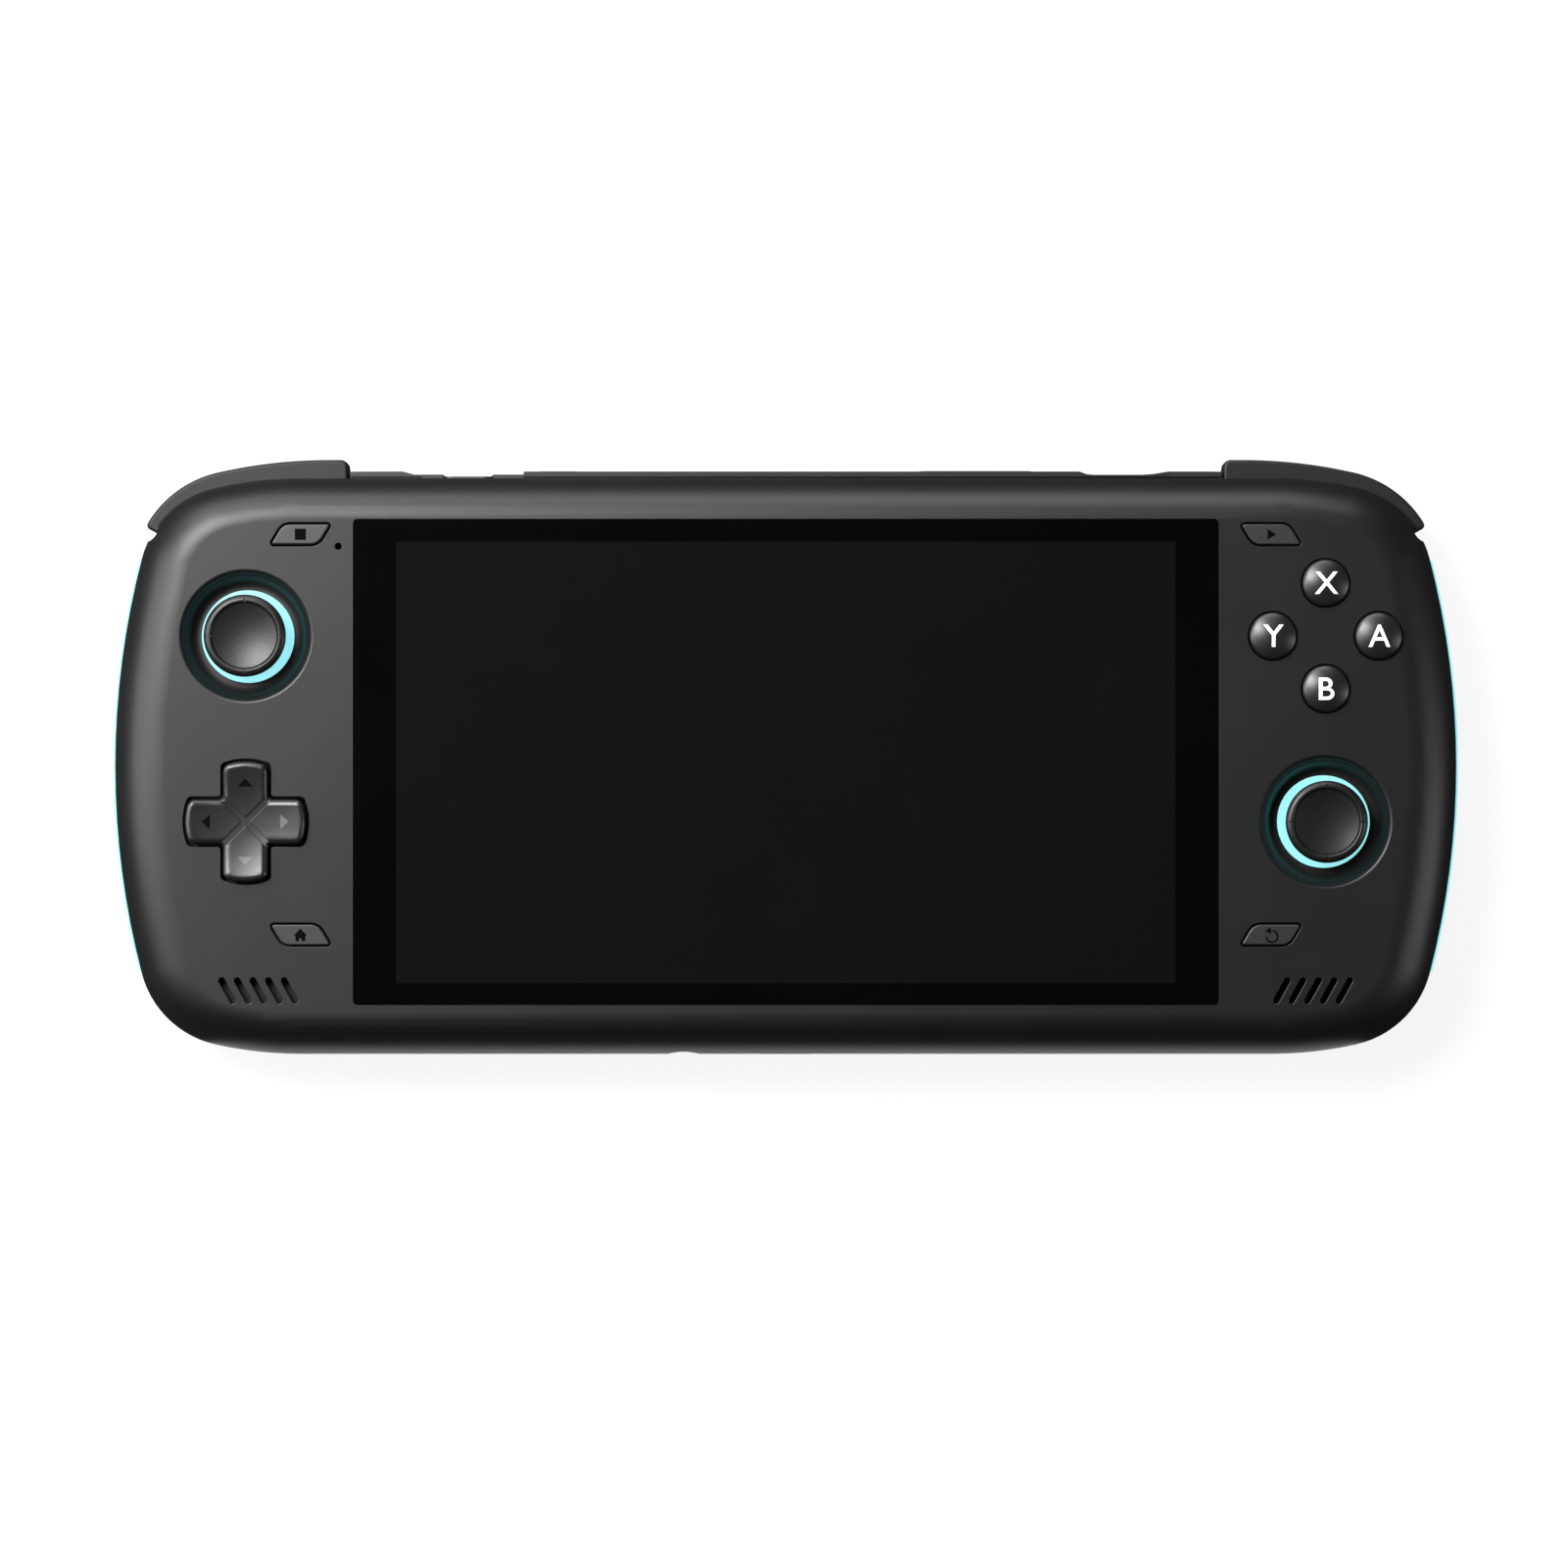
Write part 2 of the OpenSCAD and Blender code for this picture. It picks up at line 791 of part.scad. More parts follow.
// Part of a ring along a side of the console: inside and outside of the side's own curve, and its height
module strip_ring(inside, outside, h, angle) {
    rotate_extrude(angle = angle, $fn = 360)
        translate([side_r - inside, seam_z - h])
            square([inside + outside, h]);
}

module side_light(s) {
    color([0.5, 0.95, 1])
    translate([s * (half_w - side_r), face_y, -strip_gap / 2])
        rotate([0, 0, s > 0 ? -corner_a0 + 0.15 : 180 - corner_a0 + 0.15])
            strip_ring(strip_in, strip_out, strip_h - strip_gap, 2 * corner_a0 - 0.3);
}

// Screen

module cover_glass() {
    color([0.02, 0.02, 0.02])
    translate([0, glass_y, 0])
        round_plate(glass_w, glass_h, glass_r, front_z - glass_t, front_z);
}

module display_panel() {
    color([0.08, 0.09, 0.085])
    translate([0, glass_y, 0])
        round_plate(
            glass_w - 2 * ledge - 0.4, glass_h - 2 * ledge - 0.4, glass_r,
            front_z - glass_t - panel_t - 0.05, front_z - glass_t - 0.05
        );
}

module mid_frame() {
    color("silver")
    difference() {
        union() {
            translate([0, glass_y, 0])
                round_plate(frame_w, frame_hh, 2, frame_z, frame_z + frame_t);
            for (p = [[14, 35], [62, 35], [14, -37], [62, -37]])
                translate([p.x, p.y, 15.2])
                    cylinder(r = 1.6, h = frame_z - 15.1);
        }
        for (p = frame_screw_at, s = [-1, 1])
            translate([s * p.x, p.y, frame_z - 1])
                cylinder(r = 0.75, h = 3);
        at_screws()
            translate([0, 0, frame_z - 1])
                cylinder(r = boss_r + 0.3, h = 3);
        translate([-60, glass_y, frame_z - 1])
            linear_extrude(3)
                round_rect(4, 22, 1);
    }
}

module frame_screws() {
    color("dimgray")
    for (p = frame_screw_at, s = [-1, 1])
        translate([s * p.x, p.y, 0]) {
            translate([0, 0, frame_z - 0.9])
                cylinder(r = 1.3, h = 0.9);
            translate([0, 0, frame_z - 0.1])
                cylinder(r = frame_screw_r, h = 2.7);
        }
}

module case_screws() {
    color("dimgray")
    at_screws() {
        difference() {
            translate([0, 0, inner_back_z - 1.6])
                cylinder(r = screw_head_r, h = 1.2);
            for (a = [0, 90])
                rotate([0, 0, a])
                    box([-1.1, 1.1], [-0.22, 0.22], [0, inner_back_z - 1]);
        }
        translate([0, 0, inner_back_z - 0.4])
            cylinder(r = screw_r, h = screw_end_z - inner_back_z + 0.4);
    }
}

// Boards and power

module main_board() {
    color("darkgreen") {
        box([10, 66], [-41, 39], [14.2, 15.2]);
        // shielded processor, memory and connectors
        box([22, 48], [10, 34], [12.4, 14.2]);
        box([20, 38], [-14, 2], [13, 14.2]);
        box([46, 60], [-20, -6], [13.2, 14.2]);
        box([52, 64], [-40, -28], [12.2, 14.2]);
    }
}

module battery() {
    color("black")
    box([-66, 6], [-34, 0], [10.6, frame_z]);
}

module port_board() {
    color("darkgreen")
    difference() {
        box([-28, 16], [-45.9, -36], [11.4, 12.2]);
        translate([10, -39, 11])
            cylinder(r = 1, h = 2);
    }
}

module display_ribbon() {
    color("darkorange") {
        box([-60.1, -59.9], [2, 7], [15.2, frame_z + frame_t + 0.1]);
        box([-60.1, 13], [2, 7], [15.2, 15.4]);
    }
}

module button_board(s) {
    stick = s < 0 ? stick_centres[0] : stick_centres[1];
    menus = s < 0 ? [0, 2] : [1, 3];
    color("darkgreen") {
        difference() {
            union() {
                box(s < 0 ? [-102.6, -74.6] : [74.6, 102.6], [-33, 31], [board_z, board_z + board_t]);
                box(s < 0 ? [-94, -74.6] : [74.6, 94], [30, 38.6], [board_z, board_z + board_t]);
            }
            at(stick)
                translate([0, 0, board_z - 1])
                    cylinder(r = stick_clear_r, h = 4, $fn = 96);
        }
        // tactile switches of the menu buttons
        for (i = menus)
            at_menu(i)
                box([-1.8, 1.8], [-1.2, 1.2], [board_z + board_t - 0.05, 14.6]);
        if (s < 0)
            dpad_cradle();
    }
}

// Two posts that carry the direction pad's spider
module dpad_cradle() {
    at(dpad_centre)
        difference() {
            for (d = [-1, 1])
                box([-1.3, 1.3], [d * 3.3 - 0.8, d * 3.3 + 0.8], [board_z + board_t - 0.05, dpad_pivot_z + 0.6]);
            translate([0, 0, dpad_pivot_z]) {
                along_y(0.8 + running, -5, 5);
                box([-0.7, 0.7], [-5, 5], [0, 2]);
            }
        }
}

module usb_port() {
    color("silver")
    translate([0, bottom_wall_y + 0.4, usb_z])
        difference() {
            slot_y(usb_w, usb_h, 0, usb_depth);
            slot_y(usb_w - 0.6, usb_h - 0.6, -1, usb_depth - 0.8);
        }
    color("black")
    translate([0, bottom_wall_y + 0.4, usb_z])
        box([-3.3, 3.3], [1.4, usb_depth - 0.7], [-0.35, 0.35]);
}

module headphone_jack() {
    color("black")
    translate([jack_x, bottom_wall_y + jack_scoop_depth, jack_z])
        difference() {
            union() {
                along_y(jack_nose_r, 0, 3.2);
                box([-3, 3], [3.1, jack_depth + 1.5], [-2.4, 2.4]);
            }
            along_y(jack_r, -1, jack_depth);
        }
}

module video_port() {
    color("silver")
    translate([video_x, top_wall_y - plate_t, top_z])
        difference() {
            box([-video_w / 2, video_w / 2], [-7, 0.4], [-video_h / 2, video_h / 2]);
            box([-video_w / 2 + 0.35, video_w / 2 - 0.35], [-6, 1], [-video_h / 2 + 0.35, video_h / 2 - 0.35]);
            for (s = [-1, 1])
                translate([s * video_w / 2, 0, -video_h / 2])
                    rotate([0, 45, 0])
                        cube([0.9, 20, 0.9], center = true);
        }
}

module status_light() {
    color([0.8, 0.85, 0.8])
    translate([light_x, 0, top_z])
        slot_y(light_w, 1, top_wall_y - 3, top_wall_y + 0.2);
}

// Cooling

module heat_sink() {
    color("silver") {
        box([-28, 6], [39.3, 43], [11.7, 12.4]);
        for (i = [0:16])
            translate([-28 + i * 2.1, 0, 0])
                box([0, 0.4], [39.3, 43], [6.4, 11.8]);
        // heat pipe and the plate on the processor
        box([5.9, 22.1], [39.6, 42.6], [11.4, 12.4]);
        box([22, 48], [10, 42.6], [11.4, 12.4]);
    }
}

module fan_housing() {
    color([0.1, 0.1, 0.1])
    at(fan)
        difference() {
            box([-19, 19], [-19, 19], [fan_z0, fan_z1]);
            translate([0, 0, fan_z0 + 0.8])
                cylinder(r = fan_r + 1.2, h = fan_z1 - fan_z0 - 1.6);
            translate([0, 0, fan_z0 - 1])
                cylinder(r = fan_r - 3, h = 3);
            box([-15, 15], [0, 20], [fan_z0 + 0.8, fan_z1 - 0.8]);
            translate([0, 0, fan_z1 - 2])
                cylinder(r = 1.05, h = 4);
        }
}

module fan_rotor() {
    color([0.15, 0.15, 0.15])
    at(fan) {
        translate([0, 0, fan_z0 + 1.2])
            cylinder(r = 6, h = 4);
        translate([0, 0, fan_z0 + 5.1])
            cylinder(r = 1, h = fan_z1 - fan_z0 - 5.2);
        for (i = [0:fan_blades - 1])
            rotate([0, 0, i * 360 / fan_blades])
                translate([5.6, 0, fan_z0 + 1.4])
                    rotate([0, 0, 24])
                        translate([0, -0.3, 0])
                            cube([fan_r - 6.4, 0.6, 3.6]);
    }
}

// Sound and vibration

module speakers() {
    color([0.1, 0.1, 0.1])
    for (s = [-1, 1])
        translate([s * slot_x, slot_y, 0])
            difference() {
                box([-8, 8], [-3.6, 3.6], [12, inner_front_z]);
                round_plate(14, 5.6, 2, inner_front_z - 0.8, inner_front_z + 1);
            }
}

module rumble_motors() {
    color("silver")
    for (s = [-1, 1])
        translate([s * grip_x, grip_y - 8, 4.3])
            along_y(2.4, -6, 6);
}

// Thumb sticks

module stick_module(c) {
    h = stick_box / 2;
    color([0.75, 0.76, 0.78])
    at(c)
        difference() {
            union() {
                box([-h, h], [-h, h], [7, stick_box_z]);
                for (a = [0, 90])
                    rotate([0, 0, a + 45])
                        box([-11.6, 11.6], [-1.6, 1.6], [stick_box_z - 0.8, stick_box_z]);
            }
            box([-h + 0.9, h - 0.9], [-h + 0.9, h - 0.9], [7.9, 14]);
            translate([0, 0, stick_pivot_z]) {
                along_x(trunnion_r + running, -h - 1, h + 1);
                along_y(trunnion_r + running, -h - 1, h + 1);
                // the cradles are open above
                box([-h - 1, h + 1], [-0.7, 0.7], [0, 2]);
                box([-0.7, 0.7], [-h - 1, h + 1], [0, 2]);
            }
        }
}

// Yoke that tips the stick left and right, on trunnions along Y
module stick_x_rocker(c) {
    color([0.85, 0.85, 0.85])
    at(c)
        translate([0, 0, stick_pivot_z])
            difference() {
                union() {
                    box([-3, 3], [-2.6, 2.6], [-1.1, 1.1]);
                    along_y(trunnion_r, -stick_box / 2 + 0.1, -2.5);
                    along_y(trunnion_r, 2.5, stick_box / 2 - 0.1);
                }
                box([-1.5, 1.5], [-1.9, 1.9], [-2, 2]);
                along_x(0.6 + running, -4, 4);
            }
}

// Arch that follows the stick up and down, on trunnions along X
module stick_y_rocker(c) {
    color([0.85, 0.85, 0.85])
    at(c)
        translate([0, 0, stick_pivot_z])
            difference() {
                union() {
                    intersection() {
                        along_y(5, -2.2, 2.2);
                        box([-6, 6], [-3, 3], [-0.8, 6]);
                    }
                    along_x(trunnion_r, -stick_box / 2 + 0.1, -4.4);
                    along_x(trunnion_r, 4.4, stick_box / 2 - 0.1);
                }
                along_y(4.1, -3, 3);
                box([-3.2, 3.2], [-1.3, 1.3], [2, 6]);
            }
}

module stick_shaft(c) {
    color([0.9, 0.9, 0.9])
    at(c) {
        translate([0, 0, stick_pivot_z - 1.2])
            cylinder(r = shaft_r, h = cap_z0 - 1.4 - stick_pivot_z + 1.2);
        translate([0, 0, stick_pivot_z])
            along_x(0.6, -2.9, 2.9);
    }
}

// Cap, neck and the dome that closes the hole round them
module stick_cap(c) {
    r = stick_d / 2;
    dish_r = r - 1.5;
    dome_a = 56;
    color([0.09, 0.09, 0.09])
    at(c)
        difference() {
            rotate_extrude($fn = 96)
                polygon(concat(
                    [[0, stick_pivot_z + dome_r - dome_t]],
                    [for (i = [1:8]) let (a = dome_a * i / 8)
                        [0, stick_pivot_z] + (dome_r - dome_t) * [sin(a), cos(a)]],
                    [for (i = [8:-1:3]) let (a = dome_a * i / 8)
                        [0, stick_pivot_z] + dome_r * [sin(a), cos(a)]],
                    [
                        [neck_r - 0.3, stick_pivot_z + 7.2], [neck_r - 0.3, cap_z0 - 0.8], [neck_r, cap_z0 - 0.3],
                        [r - 0.9, cap_z0], [r - 0.2, cap_z0 + 0.4], [r, cap_z0 + 0.8],
                        [r - 0.08, cap_z1 - 0.65], [r - 0.35, cap_z1 - 0.28], [r - 0.75, cap_z1 - 0.05],
                        [r - 1, cap_z1], [r - 1.25, cap_z1 - 0.08], [r - 1.4, cap_z1 - 0.3]
                    ],
                    [for (i = [0:6]) let (u = dish_r * (1 - i / 6))
                        [u, cap_z1 - 1.05 + 0.7 * pow(u / dish_r, 2)]]
                ));
            translate([0, 0, stick_pivot_z])
                cylinder(r = shaft_r + running, h = cap_z0 - 0.9 - stick_pivot_z);
            for (a = [0:90:270])
                rotate([0, 0, a])
                    box([r - 1.35, r - 0.6], [-0.12, 0.12], [cap_z1 - 0.16, cap_z1 + 1]);
        }
}

module light_ring(c) {
    color([0.5, 0.95, 1])
    at(c)
        translate([0, 0, well_z - ring_t])
            difference() {
                cylinder(r = ring_r, h = ring_t, $fn = 96);
                translate([0, 0, -1])
                    cylinder(r = ring_hole_r, h = ring_t + 2, $fn = 96);
            }
}

// Direction pad

module dpad_cross() {
    top = front_z + dpad_rise;
    dish_r = 46;
    groove = dpad_arm * sqrt(2);
    hollow_z = 18.4;
    color([0.1, 0.1, 0.1])
    at(dpad_centre)
        difference() {
            union() {
                difference() {
                    union() {
                        translate([0, 0, dpad_flange_z])
                            linear_extrude(flange_t)
                                dpad_outline(0.9);
                        translate([0, 0, dpad_flange_z])
                            linear_extrude(top - dpad_flange_z)
                                dpad_outline(0);
                    }
                    for (a = [0, 90])
                        rotate([0, 0, a])
                            box([-5, 5], [-2.4, 2.4], [dpad_flange_z - 1, hollow_z]);
                }
                for (d = [-1, 1])
                    box([d * 3.3 - 0.8, d * 3.3 + 0.8], [-1.3, 1.3], [dpad_pivot_z - 0.6, hollow_z + 0.1]);
            }
            translate([0, 0, top + dish_r - 1])
                sphere(dish_r, $fn = 128);
            for (a = [45, 135])
                rotate([0, 0, a])
                    box([-groove / 2, groove / 2], [-0.5, 0.5], [top - 1.25, top + 1]);
            translate([0, 0, dpad_pivot_z]) {
                along_x(0.8 + running, -5, 5);
                box([-5, 5], [-0.7, 0.7], [-2, 0]);
            }
        }
}

// Spider that the direction pad rocks on, both ways
module dpad_pivot() {
    color("white")
    at(dpad_centre)
        translate([0, 0, dpad_pivot_z]) {
            along_x(0.8, -4.2, 4.2);
            along_y(0.8, -4.2, 4.2);
            box([-1.4, 1.4], [-1.4, 1.4], [-0.8, 0.8]);
        }
}

module dpad_membrane() {
    z = board_z + board_t;
    color("lightgray")
    at(dpad_centre)
        difference() {
            union() {
                round_plate(19, 19, 3, z, z + membrane_t);
                for (a = [0:90:270])
                    rotate([0, 0, a])
                        translate([7.6, 0, z + membrane_t - 0.1])
                            cylinder(r1 = 2.4, r2 = 1.5, h = dpad_flange_z - z - membrane_t);
            }
            round_plate(8.8, 8.8, 1, z - 1, 20);
        }
}

// Face buttons

module face_button(a) {
    r = face_button_d / 2;
    top = front_z + face_rise;
    color([0.07, 0.07, 0.07])
    at(face_centre + face_button_reach * dir(a))
        rotate_extrude($fn = 72)
            polygon(concat(
                [
                    [0, face_skirt_z], [r + flange_w, face_skirt_z], [r + flange_w, face_skirt_z + flange_t],
                    [r, face_skirt_z + flange_t], [r, top - 1], [r - 0.12, top - 0.7], [r - 0.5, top - 0.42]
                ],
                [for (i = [1:5]) let (u = (r - 0.5) * (1 - i / 5)) [u, top - 0.42 * pow(u / (r - 0.5), 2)]]
            ));
}

module face_membrane() {
    z = board_z + board_t;
    color("lightgray")
    at(face_centre) {
        for (a = [0, 90])
            rotate([0, 0, a])
                round_plate(26.4, 8.8, 4, z, z + membrane_t);
        for (a = [0:90:270])
            rotate([0, 0, a])
                translate([face_button_reach, 0, z + membrane_t - 0.1])
                    cylinder(r1 = 3.2, r2 = 2, h = face_skirt_z - z - membrane_t);
    }
}

// Menu buttons

module menu_button(i) {
    color([0.24, 0.24, 0.24])
    at_menu(i) {
        translate([0, 0, 15.2])
            linear_extrude(front_z + menu_rise - 15.2)
                menu_outline(0);
        translate([0, 0, 17.6])
            linear_extrude(1)
                menu_outline(0.75);
    }
}

// Bumpers and triggers

module bumper() {
    color([0.24, 0.24, 0.24])
    difference() {
        translate([0, 0, bumper_z0])
            linear_extrude(bumper_z1 - bumper_z0)
                offset(r = 0.8, $fn = 40)
                    offset(delta = -0.8)
                        polygon(bumper_band(0, bumper_depth, bumper_end_x, bumper_a1, 3));
        at(bumper_pin)
            cylinder(r = bumper_pin_r + running, h = front_z);
        // round off the inner corner of the end that shows
        translate([bumper_end_x, bumper_top_y, 0])
            difference() {
                box([-1.2, 1], [-1.2, 1], [0, front_z]);
                translate([-1.2, -1.2, -1])
                    cylinder(r = 1.2, h = front_z + 2, $fn = 64);
            }
    }
}

module bumper_pins() {
    color("silver")
    both_sides()
        at(bumper_pin)
            translate([0, 0, bumper_z0 + 0.2])
                cylinder(r = bumper_pin_r, h = seam_z + 1.7 - bumper_z0);
}

module trigger() {
    color([0.13, 0.13, 0.13])
    difference() {
        loft([
            for (s = trigger_sections)
                let (
                    outer = bumper_edge(s[1], bumper_end_x - 0.3, trigger_a1),
                    tip = outer[len(outer) - 1]
                )
                concat(
                    [for (q = outer) [q.x, q.y, s[0]]],
                    [
                        [tip.x, min(tip.y - trigger_min_t, s[2]), s[0]],
                        [trigger_bend_x, s[2] - trigger_bow, s[0]],
                        [bumper_end_x - 0.3, s[2], s[0]]
                    ]
                )
        ]);
        translate([0, trigger_pin[0], trigger_pin[1]])
            along_x(trigger_pin_r + running, trigger_pin_x0, -70);
        box(trigger_slot, [38, trigger_pin[0] + 2], [trigger_slot_z, 10]);
    }
}

module trigger_pins() {
    color("silver")
    both_sides()
        translate([0, trigger_pin[0], trigger_pin[1]])
            along_x(trigger_pin_r, trigger_pin_x0 + 0.2, trigger_pin_x1);
}

// Return spring round each trigger pin
module trigger_springs() {
    turns = 4;
    pitch = 0.95;
    coil_r = 1.2;
    wire_r = 0.2;
    steps = 10;
    sides = 6;
    x0 = -87.6;
    n = turns * steps;
    color("silver")
    both_sides()
        translate([x0, trigger_pin[0], trigger_pin[1]])
            polyhedron(
                points = [
                    for (i = [0:n], k = [0:sides - 1])
                        let (a = 360 * i / steps, b = 360 * k / sides, r = coil_r + wire_r * cos(b))
                        [pitch * i / steps + wire_r * sin(b), r * cos(a), r * sin(a)]
                ],
                faces = concat(
                    [[for (k = [sides - 1:-1:0]) k]],
                    [for (i = [0:n - 1], k = [0:sides - 1])
                        let (a = i * sides + k, b = i * sides + (k + 1) % sides) [a, b, b + sides]],
                    [for (i = [0:n - 1], k = [0:sides - 1])
                        let (a = i * sides + k, b = i * sides + (k + 1) % sides) [a, b + sides, a + sides]],
                    [[for (k = [0:sides - 1]) n * sides + k]]
                ),
                convexity = 8
            );
    echo(spring_gap = pitch - 2 * wire_r);
}

// Keys on the back and the edges

module rear_button(s) {
    color([0.24, 0.24, 0.24])
    translate([s * rear_button_x, rear_button_y, 0]) {
        round_plate(rear_button_w, rear_button_l, 1.8, back_z - rear_button_rise, 7);
        round_plate(rear_button_w + 1.6, rear_button_l + 1.6, 2, inner_back_z + 0.6, 7);
    }
}

module power_button() {
    color([0.24, 0.24, 0.24])
    translate([power_x, 0, top_z]) {
        slot_y(power_w, key_h, top_wall_y - key_stop - 0.4, top_wall_y - power_scoop + 0.45);
        slot_y(power_w + 1.4, key_h + 1, top_wall_y - 5.4, top_wall_y - key_stop - 0.3);
    }
}

module volume_rocker() {
    color([0.24, 0.24, 0.24])
    translate([volume_x, 0, top_z])
        difference() {
            union() {
                slot_y(volume_w, key_h, top_wall_y - key_stop - 0.6, top_wall_y + 0.2);
                box([-1.4, 1.4], [top_wall_y - 5.4, top_wall_y - key_stop - 0.5], [-key_h / 2, key_h / 2]);
            }
            translate([0, top_wall_y - volume_pin_y, -5])
                cylinder(r = volume_pin_r + running, h = 10);
        }
}

front_shell();
rear_shell();
top_port_plate();
side_light(-1);  // side_light_left
side_light(1);  // side_light_right
cover_glass();
display_panel();
mid_frame();
main_board();
battery();
port_board();
button_board(-1);  // button_board_left
button_board(1);  // button_board_right
display_ribbon();
stick_module(stick_centres[0]);  // stick_module_left
stick_x_rocker(stick_centres[0]);  // stick_x_rocker_left
stick_y_rocker(stick_centres[0]);  // stick_y_rocker_left
stick_shaft(stick_centres[0]);  // stick_shaft_left
stick_cap(stick_centres[0]);  // stick_cap_left
light_ring(stick_centres[0]);  // light_ring_left
stick_module(stick_centres[1]);  // stick_module_right
stick_x_rocker(stick_centres[1]);  // stick_x_rocker_right
stick_y_rocker(stick_centres[1]);  // stick_y_rocker_right
stick_shaft(stick_centres[1]);  // stick_shaft_right
stick_cap(stick_centres[1]);  // stick_cap_right
light_ring(stick_centres[1]);  // light_ring_right
dpad_cross();
dpad_pivot();
dpad_membrane();
face_button(0);  // button_a
face_button(90);  // button_x
face_button(180);  // button_y
face_button(270);  // button_b
face_membrane();
menu_button(0);  // select_button
menu_button(1);  // start_button
menu_button(2);  // home_button
menu_button(3);  // back_button
bumper();  // bumper_left
mirror([1, 0, 0]) bumper();  // bumper_right
bumper_pins();
trigger();  // trigger_left
mirror([1, 0, 0]) trigger();  // trigger_right
trigger_pins();
trigger_springs();
rear_button(-1);  // rear_button_left
rear_button(1);  // rear_button_right
power_button();
volume_rocker();
status_light();
heat_sink();
fan_housing();
fan_rotor();
speakers();
rumble_motors();
usb_port();
headphone_jack();
video_port();
case_screws();
frame_screws();
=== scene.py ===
import json
import math
import bpy
from mathutils import Matrix, Vector


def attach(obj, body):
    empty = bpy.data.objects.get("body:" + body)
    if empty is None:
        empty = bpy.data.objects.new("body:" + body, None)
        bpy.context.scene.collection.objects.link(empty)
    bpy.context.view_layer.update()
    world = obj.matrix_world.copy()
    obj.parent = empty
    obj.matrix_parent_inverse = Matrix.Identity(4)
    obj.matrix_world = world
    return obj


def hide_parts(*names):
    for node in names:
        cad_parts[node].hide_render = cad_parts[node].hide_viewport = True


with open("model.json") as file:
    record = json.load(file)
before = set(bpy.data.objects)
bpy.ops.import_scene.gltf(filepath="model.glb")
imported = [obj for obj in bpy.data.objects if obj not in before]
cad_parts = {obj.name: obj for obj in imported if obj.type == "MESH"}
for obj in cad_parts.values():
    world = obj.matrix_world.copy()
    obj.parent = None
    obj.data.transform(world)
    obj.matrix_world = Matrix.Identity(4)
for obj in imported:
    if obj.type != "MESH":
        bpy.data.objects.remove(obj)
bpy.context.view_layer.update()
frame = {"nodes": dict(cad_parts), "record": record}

mm = 0.001
hair = 0.01 * mm  # heights closer than this are the same
weld = 0.001 * mm  # points closer than this are one
cadNodes = frame["nodes"]
bodyOf = {node: body for body, names in frame["record"]["behaviour"]["bodies"].items() for node in names}
scene = bpy.context.scene
dressed = set()  # solids that already have their finish or a piece in their place
stickSpots = [(-89.8, 20.1), (89.8, -10.8)]  # left and right thumb stick, mm


# picking things up, and choosing what an operator acts on

def objectMode():
    if bpy.context.mode != "OBJECT":
        bpy.ops.object.mode_set(mode="OBJECT")


def takeUp(piece):  # the only one selected, and active
    objectMode()
    bpy.ops.object.select_all(action="DESELECT")
    piece.select_set(True)
    bpy.context.view_layer.objects.active = piece


def settle(piece):  # its place, turn and scale go into the mesh
    takeUp(piece)
    bpy.ops.object.transform_apply(location=True, rotation=True, scale=True)


def start(name, kind, scale=(1, 1, 1), **how):  # a primitive at its size and place, to be shaped further
    objectMode()
    bpy.ops.object.select_all(action="DESELECT")
    getattr(bpy.ops.mesh, f"primitive_{kind}_add")(**how)
    piece = bpy.context.object
    piece.name = piece.data.name = name
    piece.scale = scale
    settle(piece)
    return piece


def edit(piece, kind="FACE", test=None, sharp=None):  # into edit mode with what passes the test selected
    takeUp(piece)
    bpy.ops.object.mode_set(mode="EDIT")
    bpy.ops.mesh.select_mode(type=kind)
    bpy.ops.mesh.select_all(action="SELECT" if test is None else "DESELECT")
    if test is None:
        return
    if sharp is not None:
        bpy.ops.mesh.edges_select_sharp(sharpness=math.radians(sharp))
    bpy.ops.object.mode_set(mode="OBJECT")
    mesh = piece.data
    if kind == "VERT":
        for vert in mesh.vertices:
            vert.select = test(vert.co)
    elif kind == "EDGE":
        for edge in mesh.edges:
            a, b = (mesh.vertices[i].co for i in edge.vertices)
            edge.select = (sharp is None or edge.select) and test(a, b)
    else:
        for face in mesh.polygons:
            face.select = test(face.center, face.normal)
    bpy.ops.object.mode_set(mode="EDIT")


def atLevel(level, *points):
    return all(abs(p.z - level * mm) < hair for p in points)


# shaping

def outward(piece):  # merge what lies on the same spot and turn the faces out
    edit(piece)
    bpy.ops.mesh.remove_doubles(threshold=weld)
    bpy.ops.mesh.normals_make_consistent(inside=False)
    objectMode()


def extrude(x=0, y=0, z=0):
    bpy.ops.mesh.extrude_region_move(TRANSFORM_OT_translate={"value": (x * mm, y * mm, z * mm)})


def rollEdges(width, segments):  # the selected edges
    bpy.ops.mesh.bevel(offset=width * mm, segments=segments, affect="EDGES", clamp_overlap=False)


def box(x, y, z, w, d, h, turn=0):  # a cutter or lug, middle and size in mm
    return start("tool", "cube", size=1, location=(x * mm, y * mm, z * mm),
                 rotation=(0, 0, math.radians(turn)), scale=(w * mm, d * mm, h * mm))


def turned(name, at, profile, sides):  # rings of (radius, height) in mm, the first one is a face
    spot = [c * mm for c in at]
    piece = start(name, "circle", vertices=sides, radius=profile[0][0] * mm, fill_type="NGON",
                  location=(spot[0], spot[1], profile[0][1] * mm))
    edit(piece)
    for (r0, z0), (r1, z1) in zip(profile, profile[1:]):
        extrude(z=z1 - z0)
        bpy.ops.transform.resize(value=(r1 / r0, r1 / r0, 1), center_override=(spot[0], spot[1], z1 * mm))
    outward(piece)
    return piece


